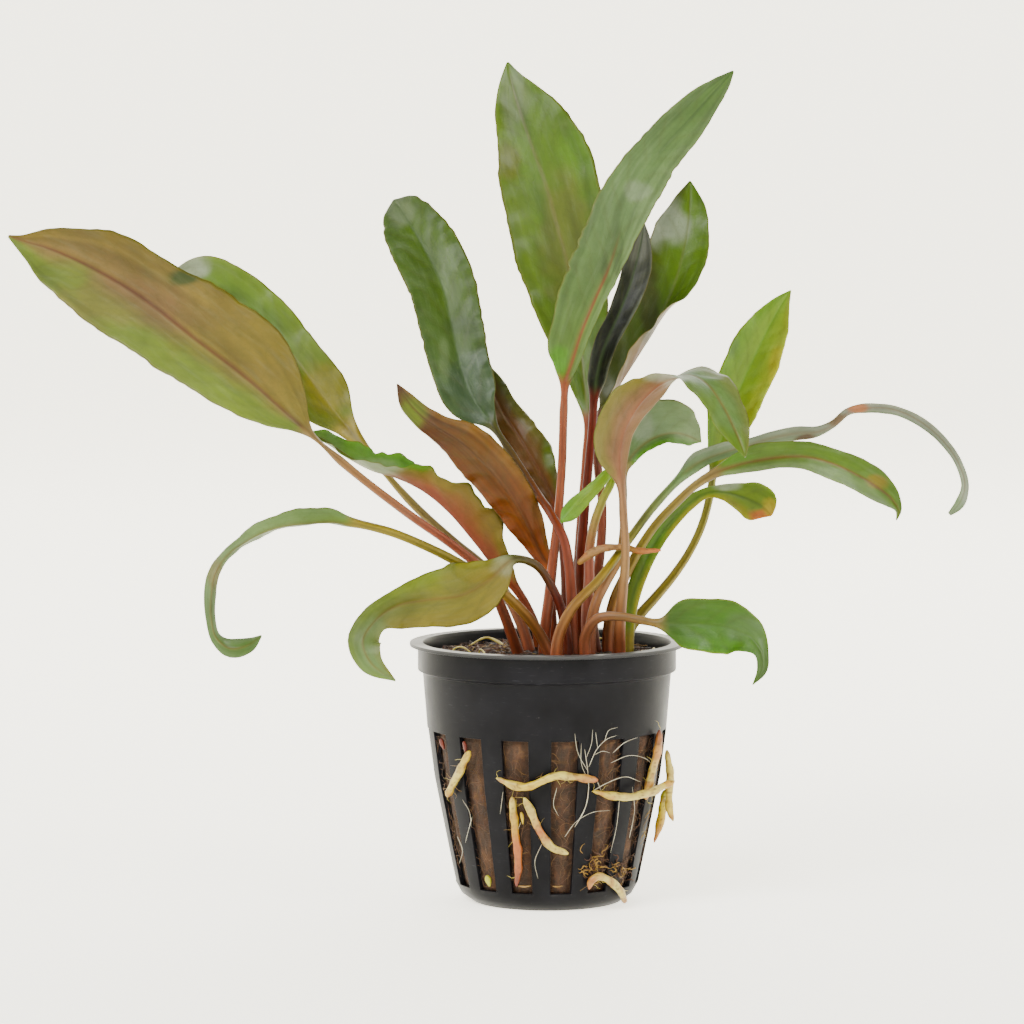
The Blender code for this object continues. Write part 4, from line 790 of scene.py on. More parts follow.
def leaf_material(name, gloss=0.42, glow=0.0, mottle=0.16, shine=0.2):
    """Leaf skin: painted tint, mottling, streaks, fine net of veins and a waxy satin surface."""
    shader = Shader(name)
    tint = shader.attribute("tint")
    blade = shader.attribute("blade", "Vector")
    clouds = shader.noise(shader.stretch(blade, (1, 0.55, 1)), 0.16, 4)
    colour = shader.mix(shader.range(clouds, 0.35, 0.68, 0, mottle * 2), tint, "dark_green", "MULTIPLY")
    streaks = shader.noise(shader.stretch(blade, (1, 0.12, 1)), 1.1, 3)
    colour = shader.mix(shader.range(streaks, 0.5, 0.75, 0, mottle * 0.4), colour, "silver")
    net = shader.cells(shader.stretch(blade, (1, 0.6, 1)), 0.62)
    lines = shader.range(net, 0.0, 0.09, 1, 0)
    lines = shader.math("MULTIPLY", lines, shader.attribute("flat", "Fac"))
    colour = shader.mix(shader.math("MULTIPLY", lines, 0.09), colour, "dark_green")
    veins = shader.attribute("vein", "Fac")
    colour = shader.mix(shader.math("MULTIPLY", veins, 0.2), colour, "shadow_olive")
    speck = shader.noise(blade, 2.6, 2)
    colour = shader.mix(shader.range(speck, 0.62, 0.72, 0, 0.22), colour, "shadow_olive")
    height = shader.math("ADD", shader.math("MULTIPLY", lines, -0.2), shader.noise(blade, 1.2, 3))
    shader.bump(height, 0.35, 0.12)
    roughness = shader.range(clouds, 0.3, 0.7, gloss - 0.06, gloss + 0.1)
    shader.surface_values(Base_Color=colour, Roughness=roughness)
    shader.surface_values(Subsurface_Weight=glow, Subsurface_Scale=0.4 * MM, Specular_IOR_Level=shine)
    shader.surface.inputs["Subsurface Radius"].default_value = (1.0, 1.2, 0.4)
    return shader.material


def pot_material():
    """Black moulded plastic with a faint grain, rubbed streaks, dust and a painted highlight along the rim.
    """
    shader = Shader("pot_plastic")
    spot = shader.place()
    dust = shader.noise(spot, 900, 4, 0.7)
    clouds = shader.noise(spot, 90, 3)
    scratches = shader.noise(shader.stretch(spot, (1, 1, 7)), 420, 3)
    colour = shader.mix(shader.range(clouds, 0.35, 0.7), POT_BLACK, POT_SOFT_BLACK)
    streaks = shader.range(scratches, 0.6, 0.74, 0, 0.3)
    rubbed = shader.math("MULTIPLY", streaks, shader.range(clouds, 0.5, 0.65))
    colour = shader.mix(rubbed, colour, POT_RUBBED)
    colour = shader.mix(shader.range(dust, 0.68, 0.76, 0, 0.3), colour, POT_DUST)
    # Painted highlight: the rim's top and outer edge are mixed towards light grey.
    rim_highlight_share = shader.math("MULTIPLY", shader.attribute("rim_highlight", "Fac"), 0.5)
    colour = shader.mix(rim_highlight_share, colour, POT_RIM_HIGHLIGHT)
    shader.bump(shader.math("ADD", dust, scratches), 0.12, 0.1)
    shader.surface_values(Base_Color=colour, Specular_IOR_Level=0.08)
    shader.surface_values(Roughness=shader.range(clouds, 0.3, 0.7, 0.28, 0.42))
    return shader.material


def fibre_material():
    """Wet growing wool: matted strands of brown, tan and grey-pink, with peat on its top and painted shade in
    its hollows.
    """
    shader = Shader("growing_fibre")
    spot = shader.place()
    strands = shader.noise(shader.stretch(spot, (1, 1, 0.25)), 900, 5, 0.7)
    cross = shader.noise(shader.stretch(spot, (0.3, 0.3, 1)), 1100, 4, 0.7)
    patches = shader.noise(spot, 120, 3)
    colour = shader.mix(shader.range(strands, 0.38, 0.62), "peat", "wool_brown")
    colour = shader.mix(shader.range(cross, 0.55, 0.7, 0, 0.7), colour, "wool_olive")
    colour = shader.mix(shader.range(patches, 0.55, 0.7, 0, 0.5), colour, "wool_pink")
    # Peat colour on the top, painted shade in the hollows of the sides.
    colour = shader.mix(shader.attribute("dark", "Fac"), colour, "peat")
    shader.bump(shader.math("ADD", strands, cross), 0.9, 0.5)
    shader.surface_values(Base_Color=colour, Roughness=0.85)
    return shader.material


def tinted_material(name, roughness, glow, grain, spread):
    """Root or fibre with its own tint, lengthwise grain and small stains."""
    shader = Shader(name)
    spot = shader.place()
    colour = shader.mix(shader.range(shader.noise(spot, grain, 4), 0.4, 0.7, 0, spread),
                        shader.attribute("tint"), "root_orange", "MULTIPLY")
    stains = shader.noise(spot, grain * 0.22, 3)
    colour = shader.mix(shader.range(stains, 0.6, 0.72, 0, spread * 0.9), colour, "wool_brown")
    shader.bump(shader.noise(spot, grain * 1.6, 3), 0.35, 0.12)
    shader.surface_values(Base_Color=colour, Roughness=roughness, Subsurface_Weight=glow)
    shader.surface_values(Subsurface_Scale=0.6 * MM)
    return shader.material


def leaf_rows(leaf):
    """Stations of one leaf: place, left and right half width, turn, fold and core radius."""
    blade = leaf["blade"]
    places = [(*leaf["foot"], FOOT_Z)] + [place(*spot) for spot in leaf["petiole"]]
    rows = []
    for k, spot in enumerate(places):
        share = min(PETIOLE_TAPER_RATE * k / len(places), 1)
        radius = PETIOLE_FOOT + (PETIOLE_NECK - PETIOLE_FOOT) * share
        rows.append([*spot, radius, radius, blade[0][5], 0, radius])
    for k, (x, z, y, left, right, turn, fold) in enumerate(blade):
        share = k / (len(blade) - 1)
        radius = PETIOLE_NECK + (TIP_RADIUS - PETIOLE_NECK) * share
        rows.append([*place(x, z, y), left, right, turn, fold, radius])
    return np.array(rows)


def leaf_colours(look, points, on_blade, along, across, upper, rib):
    """Tint of each point of a leaf from its named colours, including painted sheen and shade from some halves
    and patches, and painted shade in the petiole's grooves.
    """
    colour = np.where(upper[:, None], blend(look["upper"], along), blend(look["under"], along))
    wander = 0.22 * rough(np.column_stack([across, along * 6, 0 * across]), 1.6, 5.0)
    for half, side in (("left", -1), ("right", 1)):
        name, strength, start, full = (*look[half], *TINT_SPAN)[:4]
        share = (strength * step(start, full, np.abs(across) + wander) * (across * side > 0))[:, None]
        colour = colour * (1 - share) + linear(name) * share
    seen = seen_at(points)
    wobble = rough(points * [1, 0.4, 1], 0.35, 3.0)
    for x, z, wide, high, name, strength in look["patches"]:
        far = np.sqrt(((seen[:, 0] - x) / wide) ** 2 + ((seen[:, 1] - z) / high) ** 2)
        share = (strength * step(1.25, 0.6, far + 0.35 * wobble))[:, None]
        colour = colour * (1 - share) + linear(name) * share
    name, strength = look["rib"]
    share = (strength * rib)[:, None]
    colour = colour * (1 - share) + linear(name) * share
    streaks = rough(np.column_stack([across * 7, along * 2.2, upper * 3.0]), 1.0, 7.0)
    colour = colour * (1 - look["streak"] * np.clip(streaks * 2.2, -0.8, 0.8))[:, None]
    colour = colour * look["shade"]
    rim = (0.45 * step(0.93, 1.0, np.abs(across)))[:, None]
    colour = colour * (1 - rim) + linear("olive_tan") * rim
    stalk = blend(look["petiole"], np.clip(on_blade[:, 0] + 1, 0, 1))
    # Lengthwise lines: painted shade in the petiole's grooves and painted light on its ridges, with its
    # colour streaks.
    lines = np.cos(STALK_GROOVES * np.arccos(np.clip(across, -1, 1)) + upper * 1.3) + 0.8 * streaks
    stalk = stalk * (1 + 0.2 * lines)[:, None]
    share = on_blade[:, 1][:, None]
    return stalk * (1 - share) + colour * share


def dress_leaf(number, name, leaf, look, material):
    """Fine leaf over its solid: grooved petiole, veined and waved blade with two coloured faces."""
    rows = leaf_rows(leaf)
    length = np.linalg.norm(np.diff(rows[:, :3], axis=0), axis=1)
    stalk_length = length[:len(leaf["petiole"]) + 1].sum()
    count = round(length.sum() / LEAF_STEP)
    spots = np.linspace(0, LEAF_END, count)
    data = flow(rows, spots)
    run = spots * length.sum() - stalk_length
    blade_length = length.sum() - stalk_length
    data[:, 3:5] = np.maximum(data[:, 3:5], TIP_HALF)
    along = unit(np.gradient(data[:, :3], axis=0))
    along[0] = (0, 0, 1)
    base = unit(np.cross(along, [0, -1, 0]))
    turn = np.radians(data[:, 5])[:, None]
    side = np.cos(turn) * base + np.sin(turn) * np.cross(along, base)
    upper = np.cross(side, along)
    radius = data[:, 7][:, None]
    wide = np.maximum(data[:, 3], data[:, 4])[:, None]
    flat = step(0, 1, (wide / radius - ROUND_SHARE) / FLAT_SPREAD)

    ramp = np.linspace(1, -1, LEAF_COLUMNS + 1)
    t = np.concatenate([ramp, -ramp[1:-1]])[None, :]
    face = np.concatenate([np.ones(len(ramp)), -np.ones(len(ramp) - 2)])[None, :]
    sides = t.shape[1]
    half = np.where(t > 0, data[:, 4][:, None], data[:, 3][:, None])
    w = run[:, None] + 0 * t

    # Margins: small teeth and long waves, each half with its own phase.
    wave_height, wave_length = look["wave"]
    phase = number * 1.7 + np.where(t > 0, 0.0, 2.1)
    uneven = 0.6 + 0.7 * np.sin(w * 0.43 + number * 2) * np.sin(w * 0.19 + 1)
    notches = np.sin(w * 2.3 + phase * 3) + 0.7 * np.sin(w * 1.3 + phase)
    reach = t * half * (1 + look["teeth"] * uneven * notches * flat * np.abs(t))
    bend = np.radians(data[:, 6])[:, None] * flat
    middle = (np.sqrt(reach ** 2 + 0.5) - math.sqrt(0.5)) * np.sin(bend)
    wave = np.sin(2 * math.pi * w / wave_length + phase + 0.8 * np.sin(w * 0.21 + number))
    small = np.sin(2 * math.pi * w / (wave_length * 0.37) + phase * 2)
    middle = middle + wave_height * np.abs(t) ** 2.2 * (wave + 0.35 * small) * flat * np.minimum(half / 5, 1)

    # Side veins leave the midrib at a slant and bow towards the tip.
    slant = (w - 1.2 * np.abs(reach) - 0.05 * reach ** 2) / VEIN_SPACING + np.where(t > 0, 0.0, 0.45)
    slant = slant + 0.12 * np.sin(w * 0.6 + number)
    off = np.abs(slant - np.round(slant)) * VEIN_SPACING * 0.6
    body = flat * step(0.04, 0.2, np.abs(t)) * step(1.0, 0.75, np.abs(t)) * np.minimum(half / 4, 1)
    vein = np.exp(-(off / VEIN_WIDTH) ** 2) * body
    middle = middle - VEIN_RIPPLE * np.cos(2 * math.pi * slant) * body
    rib = np.exp(-(reach / np.maximum(0.55 * radius, 0.28)) ** 2)

    # Two faces: grooves above, the keel and raised veins below. They close to a tube on the petiole.
    curve = np.sqrt(np.maximum(1 - t ** 2, 0))
    skin = MARGIN_HALF + (BLADE_HALF - MARGIN_HALF) * curve
    ridge = np.minimum(KEEL, radius)
    high = skin - RIB_GROOVE * rib - VEIN_GROOVE * vein
    low = skin + (ridge - BLADE_HALF) * rib + VEIN_RIDGE * vein
    grooves = 1 + STALK_GROOVE_SHARE * np.cos(STALK_GROOVES * np.arccos(np.clip(t, -1, 1)) + number)
    round_lift = radius * curve * grooves
    lift = np.where(face > 0, high, low) * (1 - (1 - curve ** 2) * 0.5)
    lift = lift * flat + round_lift * (1 - flat)
    rise = middle + face * lift
    out = reach * (np.cos(bend) * flat + (1 - flat))
    points = data[:, None, :3] + side[:, None, :] * out[..., None] + upper[:, None, :] * rise[..., None]
    points = points.reshape(-1, 3)

    # Colours and the other channels, one value a point.
    across = np.broadcast_to(t, w.shape)
    facing = np.broadcast_to(face, w.shape)
    everywhere = np.ones_like(t)
    progress = np.clip(run / blade_length, 0, 1)[:, None] * everywhere
    on_blade = np.stack([(np.minimum(run, 0) / max(stalk_length, 1))[:, None] * everywhere,
                         step(-0.5, 2.5, run)[:, None] * everywhere], axis=-1).reshape(-1, 2)
    rib_tint = rib * step(look["rib_end"] + 0.05, look["rib_end"] - 0.15, progress)
    colours = leaf_colours(look, points, on_blade, progress.ravel(), across.ravel(), facing.ravel() > 0,
                           rib_tint.ravel())
    blade_place = np.stack([reach, w, facing * 2.0 + number * 9], axis=-1)
    channels = {"blade": blade_place.reshape(-1, 3), "vein": vein.ravel(),
                "flat": (flat * everywhere).ravel()}
    piece = add_piece(name + "_dressed", points, ring_faces(count, sides), material, colours, channels)
    settle(piece, look["finish"], name)


def tube_points(route, radii, spacing, sides, seed, wobble):
    """Rings of points round a smooth route, with a slightly uneven skin."""
    rows = np.array([[*point, radius] for point, radius in zip(route, radii)])
    length = np.linalg.norm(np.diff(rows[:, :3], axis=0), axis=1).sum()
    count = max(4, round(length / spacing))
    data = flow(rows, np.linspace(0, 1, count))
    along = unit(np.gradient(data[:, :3], axis=0))
    guide = (0.2, 0.97, 0.1) if abs(along[:, 2]).max() >= 0.9 else (0.31, 0.17, 0.94)
    across = unit(np.cross(along, guide))
    other = np.cross(along, across)
    ends = np.minimum(np.arange(count), np.arange(count)[::-1]) / 3
    size = data[:, 3] * np.sqrt(np.clip(ends + 0.15, 0, 1))
    angle = 2 * math.pi * np.arange(sides) / sides
    spoke = across[:, None] * np.cos(angle)[None, :, None] + other[:, None] * np.sin(angle)[None, :, None]
    steps = np.arange(count)[:, None] * spacing
    swell = 1 + 0 * steps * angle
    for turns, rate, share in ((1, 0.9, 0.5), (2, 2.1, 0.3), (0, 1.3, 0.6), (3, 3.7, 0.15)):
        swell = swell + wobble * share * np.sin(turns * angle + rate * steps + seed * 1.9 + turns) \
            * np.sin(steps * rate * 0.37 + seed)
    points = data[:, None, :3] + spoke * (size[:, None] * swell)[..., None]
    return points.reshape(-1, 3), count


def make_tube(name, route, radii, colours, material, slot, node):
    """Root or runner over its solid, with blotches and dark specks on its colours."""
    points, count = tube_points(route, radii, TUBE_SPACING, TUBE_SIDES, len(name), TUBE_WOBBLE)
    tint = np.repeat(blend(colours, np.linspace(0, 1, count)), TUBE_SIDES, axis=0)
    blotch = (0.55 * step(0.1, 0.5, rough(points, 0.55, 4.0)))[:, None]
    tint = tint * (1 - blotch) + linear("root_orange") * blotch
    speck = (0.7 * step(0.28, 0.5, rough(points * [1, 1, 1.6], 1.7, 9.0)))[:, None]
    tint = tint * (1 - speck) + linear("wool_brown") * speck
    piece = add_piece(name + "_dressed", points, ring_faces(count, TUBE_SIDES), material, tint)
    settle(piece, slot, node)


def bundle(name, strands, material, slot, sides=6, spacing=0.5):
    """Many thin strands, each (radius, route, colour), as one piece."""
    points = []
    faces = []
    tints = []
    for seed, (radius, route, colour) in enumerate(strands):
        radii = np.linspace(radius, radius * 0.55, len(route))
        ring, count = tube_points(route, radii, spacing, sides, seed, 0.3)
        first = sum(len(p) for p in points)
        faces += [tuple(first + k for k in face) for face in ring_faces(count, sides)]
        points.append(ring)
        tints.append(np.repeat(linear(colour)[None], len(ring), axis=0))
    piece = add_piece(name, np.concatenate(points), faces, material, np.concatenate(tints))
    settle(piece, slot)


def make_pot(material):
    """Moulded pot: the same skins and slots as the solid, finely divided and with broken edges."""
    pitch = 360 / SLOTS
    angles = []
    for slot in range(SLOTS):
        centre = FIRST_SLOT + slot * pitch
        slot_end = centre + SLOT_ANGLE / 2
        angles += list(centre + np.linspace(-0.5, 0.5, SLOT_COLUMNS + 1) * SLOT_ANGLE)
        angles += list(slot_end + np.arange(1, RIB_COLUMNS) * (pitch - SLOT_ANGLE) / RIB_COLUMNS)
    angles = np.radians(angles)
    columns = len(angles)
    outer = []
    inner = []
    station = []
    for k in range(len(POT_OUTER) - 1):
        reach = math.dist(POT_OUTER[k], POT_OUTER[k + 1])
        pieces = max(1, round(reach / POT_ROW_STEP))
        for j in range(pieces):
            share = j / pieces
            outer.append(np.array(POT_OUTER[k]) * (1 - share) + np.array(POT_OUTER[k + 1]) * share)
            inner.append(np.array(POT_INNER[k]) * (1 - share) + np.array(POT_INNER[k + 1]) * share)
            station.append(k)
    outer.append(np.array(POT_OUTER[-1]))
    inner.append(np.array(POT_INNER[-1]))
    rows = len(outer)
    skins = np.array(outer + inner + [np.array(LIP_INNER)])
    points = np.stack([skins[:, :1] * np.cos(angles), skins[:, :1] * np.sin(angles),
                       np.repeat(skins[:, 1:], columns, axis=1)], axis=-1).reshape(-1, 3).tolist()
    under = len(points)
    points += [[0, 0, POT_OUTER[0][1]], [0, 0, POT_INNER[0][1]]]

    # Point numbers on the outer skin (o), the inner skin (i) and the lip.
    def o(row, column):
        return row * columns + column % columns

    def i(row, column):
        return (rows + row) * columns + column % columns

    def lip(column):
        return 2 * rows * columns + column % columns

    def is_open(row, column):
        in_slot = column % columns % (SLOT_COLUMNS + RIB_COLUMNS) < SLOT_COLUMNS
        k = station[row] if 0 <= row < rows - 1 else -1
        return in_slot and (WALL_SLOT[0] <= k < WALL_SLOT[1] or FLOOR_SLOT[0] <= k < FLOOR_SLOT[1])

    faces = []
    for c in range(columns):
        d = c + 1
        faces += [(under, o(0, d), o(0, c)), (under + 1, i(0, c), i(0, d)),
                  (o(rows - 1, c), o(rows - 1, d), i(rows - 1, d), i(rows - 1, c)),
                  (i(rows - 1, c), i(rows - 1, d), lip(d), lip(c)),
                  (lip(c), lip(d), i(rows - 2, d), i(rows - 2, c))]
        for r in range(rows - 1):
            if is_open(r, c):
                if not is_open(r - 1, c):
                    faces.append((o(r, c), o(r, d), i(r, d), i(r, c)))
                if not is_open(r + 1, c):
                    faces.append((o(r + 1, c), i(r + 1, c), i(r + 1, d), o(r + 1, d)))
                if not is_open(r, c - 1):
                    faces.append((o(r, c), i(r, c), i(r + 1, c), o(r + 1, c)))
                if not is_open(r, d):
                    faces.append((o(r, d), o(r + 1, d), i(r + 1, d), i(r, d)))
                continue
            faces.append((o(r, c), o(r, d), o(r + 1, d), o(r + 1, c)))
            if r < rows - 2:
                faces.append((i(r, c), i(r + 1, c), i(r + 1, d), i(r, d)))

    # The rim's top gets a painted highlight, and its outer edge a little.
    heights = np.array(points)[:, 2]
    reach = np.linalg.norm(np.array(points)[:, :2], axis=1)
    rim_highlight = np.clip((heights > 51.9) + 0.35 * (reach > 27.3) * (heights > 51), 0, 1)
    piece = add_piece("net_pot_dressed", points, faces, material, channels={"rim_highlight": rim_highlight})
    face_outward(piece)
    bevel = piece.modifiers.new("broken_edges", "BEVEL")
    bevel.width = POT_BEVEL * MM
    bevel.segments = 2
    bevel.limit_method = "ANGLE"
    bevel.angle_limit = math.radians(50)
    bevel.harden_normals = True
    settle(piece, "pot_plastic", "net_pot")


def in_slot(angle):
    """How far inside a slot's width an angle lies, 0 at its edge and 1 at its middle."""
    off = (np.degrees(angle) - FIRST_SLOT + SLOT_ANGLE * 0.5) % (360 / SLOTS)
    return step(0.0, 0.35, np.minimum(off, SLOT_ANGLE - off) / SLOT_ANGLE)


def turned(radius, angle, height):
    """Points at a radius and an angle round the pot's axis."""
    return np.stack([radius * np.cos(angle), radius * np.sin(angle), height], axis=-1).reshape(-1, 3)


def make_plug(material):
    """Matted growing plug: it swells into the slots and has a rough, crumbly top."""
    profile = [(POT_INNER[2][0] - 1, POT_INNER[2][1] + PLUG_GAP)]
    profile += [(r - PLUG_GAP, h) for r, h in POT_INNER[3:9]]
    profile.append((POT_INNER[9][0] - PLUG_GAP, PLUG_TOP - 0.4))
    profile += [(r, PLUG_TOP) for r in (21.5, 12.0, 3.0)]
    fine = []
    for (r0, h0), (r1, h1) in zip(profile, profile[1:]):
        pieces = max(1, round(math.dist((r0, h0), (r1, h1)) / PLUG_STEP))
        fine += [(r0 + (r1 - r0) * j / pieces, h0 + (h1 - h0) * j / pieces) for j in range(pieces)]
    fine.append(profile[-1])
    fine = np.array(fine)
    angles = 2 * math.pi * np.arange(PLUG_COLUMNS) / PLUG_COLUMNS
    radius = np.repeat(fine[:, :1], PLUG_COLUMNS, axis=1)
    height = np.repeat(fine[:, 1:], PLUG_COLUMNS, axis=1)
    angle = np.repeat(angles[None], len(fine), axis=0)
    flat_points = turned(radius, angle, height)
    lumps = rough(flat_points, 0.55, 1.0).reshape(radius.shape)
    strands = rough(flat_points * [1, 1, 0.35], 1.9, 2.0).reshape(radius.shape)
    slot = in_slot(angle) * step(3.0, 5.0, height) * step(35.5, 33.5, height)
    swell = slot * (0.75 + 0.55 * lumps) + 0.28 * strands * step(0, 0.5, slot)
    on_top = height > PLUG_TOP - 0.05
    radius = np.where(on_top, radius, radius + np.minimum(0.75 * swell, LARGEST_SWELL))
    height = np.where(on_top, height + 0.9 * lumps + 0.4 * strands, height)
    points = turned(radius, angle, height)
    # Peat colour on the top; on the sides painted shade, darkest where the wool lies back from a slot and
    # lightest where it swells into it.
    dark = np.clip(np.where(on_top, 0.85, 0.4 - 1.1 * (lumps + strands) * slot), 0, 0.85)
    piece = add_piece("growing_plug_dressed", points, ring_faces(len(fine), PLUG_COLUMNS), material,
                      channels={"dark": dark.ravel()})
    face_outward(piece)
    settle(piece, "growing_fibre", "growing_plug")


def wool_strands(count):
    """Loose strands of the wool that cross the slots."""
    strands = []
    colours = ["wool_pink", "wool_olive", "wool_olive", "peat", "wool_brown", "wool_brown"]
    for _ in range(count):
        slot = rng.integers(SLOTS)
        angle = math.radians(FIRST_SLOT + slot * 360 / SLOTS + rng.uniform(-6, 6))
        height = rng.uniform(5, 33)
        heading = rng.normal(0, 0.9)
        route = []
        for _ in range(6):
            radius = wall_radius(height) - rng.uniform(0.15, 0.5)
            route.append((radius * math.cos(angle), radius * math.sin(angle), height))
            heading += rng.normal(0, 0.5)
            angle += 0.9 * math.sin(heading) / radius
            height = min(max(height + 0.9 * math.cos(heading), 4.6), 34)
        strands.append((rng.uniform(0.03, 0.07), route, colours[rng.integers(len(colours))]))
    return strands


def root_fluff(count):
    """Finest hairs that leave each root and cling to the wall."""
    hairs = []
    for name, (route, _) in ROOTS.items():
        for _ in range(count):
            k = rng.integers(len(route) - 1)
            share = rng.uniform()
            x, z = np.array(route[k][:2]) * (1 - share) + np.array(route[k + 1][:2]) * share
            heading = rng.uniform(0, 2 * math.pi)
            line = []
            for lift in np.linspace(min(route[k][2], 1.2), 0.2, 5):
                line.append(on_wall(x, max(z, 1.5), lift))
                heading += rng.normal(0, 0.5)
                x += 0.6 * math.cos(heading)
                z += 0.6 * math.sin(heading)
            hairs.append((rng.uniform(0.035, 0.07), line, ("root_cream", "fibre_tan")[rng.integers(2)]))
    return hairs


def slot_tuft(x, z, count):
    """Knot of brown and tan fibres that has grown out of a slot."""
    fibres = []
    colours = ("wool_brown", "fibre_tan", "dark_brown")
    for _ in range(count):
        u = x + rng.normal(0, 0.9)
        v = z + rng.normal(0, 1.2)
        heading = rng.uniform(0, 2 * math.pi)
        line = []
        for lift in (-0.4, 0.3, rng.uniform(0.3, 1.1), rng.uniform(0.2, 0.9), 0.2, -0.2):
            line.append(on_wall(u, max(v, 1.2), lift))
            heading += rng.normal(0, 1.1)
            u += 0.6 * math.cos(heading)
            v += 0.6 * math.sin(heading)
        fibres.append((rng.uniform(0.06, 0.16), line, colours[rng.integers(len(colours))]))
    return fibres


def top_strands(count):
    """Strands and chaff that lie on the soil."""
    strands = []
    colours = ["fibre_tan", "wool_brown", "peat", "peat", "dark_brown", "wool_pink"]
    for _ in range(count):
        reach = 22.5 * math.sqrt(rng.uniform(0.02, 1))
        angle = rng.uniform(0, 2 * math.pi)
        heading = rng.uniform(0, 2 * math.pi)
        x = reach * math.cos(angle)
        y = reach * math.sin(angle)
        route = []
        for _ in range(5):
            route.append((x, y, PLUG_TOP + rng.uniform(0.5, 1.3)))
            heading += rng.normal(0, 0.35)
            x += 1.2 * math.cos(heading)
            y += 1.2 * math.sin(heading)
            if math.hypot(x, y) > 23.2:
                x *= 0.93
                y *= 0.93
        strands.append((rng.uniform(0.05, 0.15), route, colours[rng.integers(len(colours))]))
    return strands


def make_crumbs(count, material):
    """Peat crumbs on the soil round the petioles."""
    points = []
    faces = []
    tints = []
    seed_mesh = bmesh.new()
    bmesh.ops.create_icosphere(seed_mesh, subdivisions=2, radius=1)
    ball = np.array([v.co[:] for v in seed_mesh.verts])
    ball_faces = [tuple(v.index for v in f.verts) for f in seed_mesh.faces]
    seed_mesh.free()
    names = ["peat", "peat", "peat", "wool_brown", "dark_brown"]
    for k in range(count):
        reach = 22.4 * math.sqrt(rng.uniform(0, 1))
        angle = rng.uniform(0, 2 * math.pi)
        size = rng.uniform(0.2, 0.75)
        lump = 1 + 0.9 * rough(ball, 1.7, k)
        stretch = rng.uniform(0.45, 1.6, 3) * (1, 1, 0.7)
        height = PLUG_TOP + rng.uniform(0.1, 0.9)
        centre = np.array([reach * math.cos(angle), reach * math.sin(angle), height])
        first = len(points) * len(ball)
        points.append(ball * lump[:, None] * stretch * size + centre)
        faces += [tuple(first + v for v in face) for face in ball_faces]
        tints.append(np.repeat(linear(names[rng.integers(len(names))])[None], len(ball), axis=0))
    piece = add_piece("soil_crumbs", np.concatenate(points), faces, material, np.concatenate(tints))
    settle(piece, "growing_fibre")


def make_stage():
    """Pale round floor that curves up into a wall all round. It glows less in front of the plant."""
    edge = FLOOR_RADII[-1]
    profile = [(r, 0.0) for r in FLOOR_RADII]
    profile += [(edge + COVE_RADIUS * math.sin(a), COVE_RADIUS - COVE_RADIUS * math.cos(a))
                for a in np.linspace(0.15, math.pi / 2, 9)]
    profile.append((edge + COVE_RADIUS, 2 * COVE_RADIUS))
    angles = 2 * math.pi * np.arange(SWEEP_COLUMNS) / SWEEP_COLUMNS
    points = [(r * math.cos(a), r * math.sin(a), z) for r, z in profile for a in angles]
    glow = [0.1 + 0.9 * float(step(-0.9, 0.4, math.sin(a) * r)) for r, _ in profile for a in angles]
    faces = ring_faces(len(profile), SWEEP_COLUMNS, closed=False)
    shader = Shader("sweep")
    shader.surface_values(Base_Color=SWEEP_PALE, Roughness=0.8)
    shader.surface_values(Emission_Color=SWEEP_GLOW)
    strength = shader.math("MULTIPLY", shader.attribute("glow", "Fac"), SWEEP_STRENGTH)
    shader.surface_values(Emission_Strength=strength)
    floor = add_piece("sweep", np.array(points) / MM, faces, shader.material, channels={"glow": glow})


def add_light(name, spot, size, power):
    data = bpy.data.lights.new(name, "AREA")
    data.shape = "RECTANGLE"
    data.size, data.size_y = size
    data.energy = power
    light = bpy.data.objects.new(name, data)
    light.location = spot
    aim = Vector(LIGHT_TARGET) - Vector(spot)
    light.rotation_euler = aim.to_track_quat("-Z", "Y").to_euler()
    bpy.context.scene.collection.objects.link(light)


def make_lights_and_camera():
    world = bpy.data.worlds.new("studio")
    world.use_nodes = True
    background = world.node_tree.nodes["Background"]
    background.inputs["Color"].default_value = WORLD_WHITE
    background.inputs["Strength"].default_value = WORLD_STRENGTH
    bpy.context.scene.world = world
    for light in LIGHTS:
        add_light(*light)
    data = bpy.data.cameras.new("camera")
    data.lens = LENS
    data.sensor_width = SENSOR
    camera = bpy.data.objects.new("camera", data)
    camera.location = Vector(EYE) * MM
    camera.rotation_euler = ((Vector(LOOK_AT) - Vector(EYE)) * MM).to_track_quat("-Z", "Y").to_euler()
    bpy.context.scene.collection.objects.link(camera)
    bpy.context.scene.camera = camera


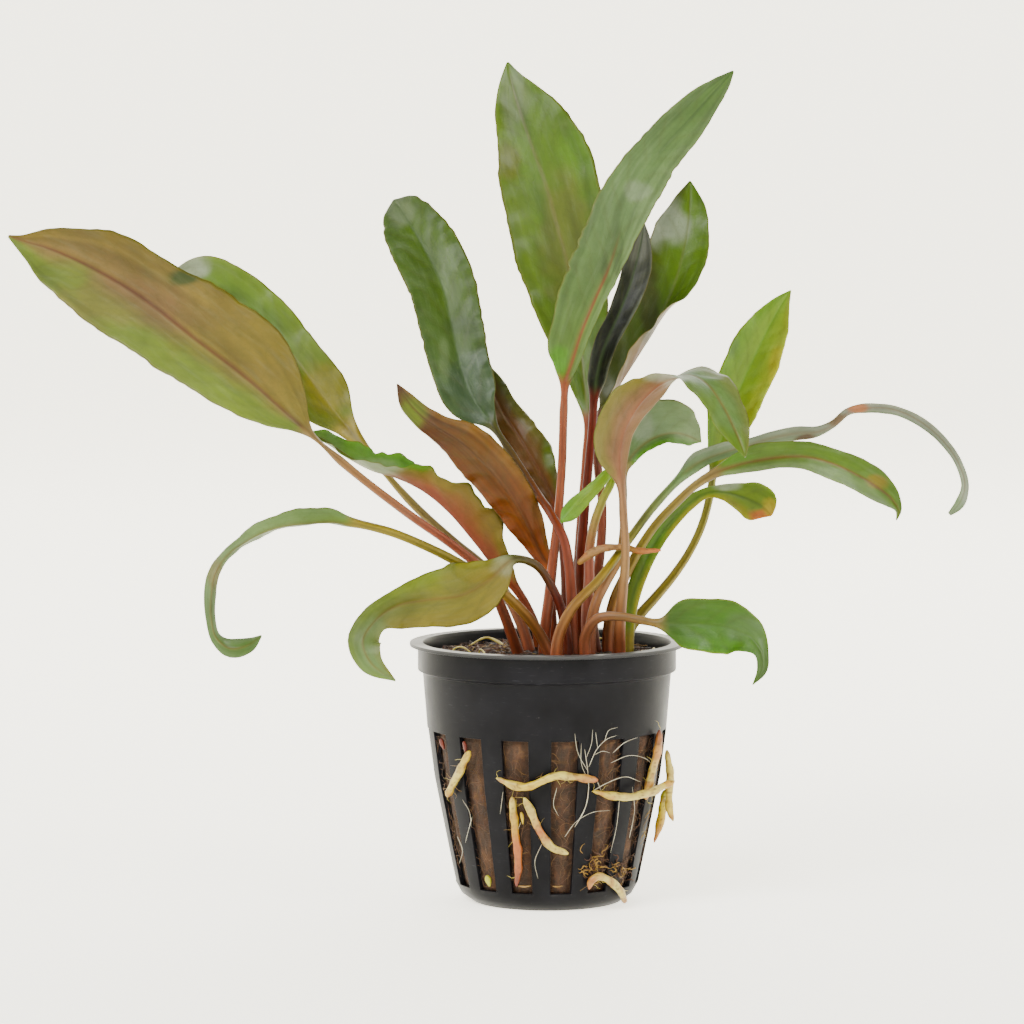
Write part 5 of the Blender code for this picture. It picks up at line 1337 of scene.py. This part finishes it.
def main():
    make_lights_and_camera()
    make_stage()
    make_pot(pot_material())
    make_plug(fibre_material())
    skin = {
        "leaf_dark": leaf_material("leaf_skin_dark", gloss=0.4, mottle=0.12, shine=0.1),
        "leaf_bright": leaf_material("leaf_skin_bright", gloss=0.44, glow=0.25, mottle=0.1),
        "leaf_brown": leaf_material("leaf_skin_brown", gloss=0.4, mottle=0.1),
    }
    common = leaf_material("leaf_skin")
    for number, (name, leaf) in enumerate(LEAVES.items()):
        look = {**PLAIN_LOOK, **LOOKS[name]}
        dress_leaf(number, name, leaf, look, skin.get(look["finish"], common))
    root_skin = tinted_material("root_skin", 0.42, 0.0, 700, 0.5)
    fibre_skin = tinted_material("fibre_skin", 0.7, 0.0, 900, 0.3)
    make_tube("old_runner", [place(*spot) for spot in RUNNER], RUNNER_RADII,
              ("amber", "tan", "amber", "orange"), fibre_skin, "runner_brown", "old_runner")
    for name, (route, colours) in ROOTS.items():
        radii = [ROOT_RADIUS] * len(route)
        radii[0] *= ROOT_ENDS[name][0]
        radii[-1] *= ROOT_ENDS[name][1]
        make_tube(name, [on_pot(*spot) for spot in route], radii, colours, root_skin, "root_cream", name)
    hairs = [(radius * HAIR_SHARE, [on_wall(x, z, HAIR_LIFT) for x, z in line], "hair_white")
             for radius, line in HAIRS]
    hairs += root_fluff(12)
    stubs = [(radius, [on_wall(x, z, 0.1) for x, z in line], colour) for radius, line, colour in STUBS]
    bundle("root_stubs", stubs, root_skin, "root_cream", 12, 0.3)
    bundle("hair_roots", hairs, root_skin, "root_cream", 8, 0.4)
    bundle("soil_rootlets", [(radius, line, "root_cream") for radius, line in ROOTLETS], root_skin,
           "root_cream", 10, 0.4)
    bundle("wool_strands", wool_strands(900), fibre_skin, "growing_fibre", 5, 0.6)
    tufts = slot_tuft(9.6, 6.6, 46) + slot_tuft(15.0, 6.0, 22)
    bundle("slot_tufts", tufts, fibre_skin, "growing_fibre", 6, 0.4)
    bundle("soil_strands", top_strands(420), fibre_skin, "growing_fibre", 5, 0.6)
    make_crumbs(1100, fibre_skin)


main()
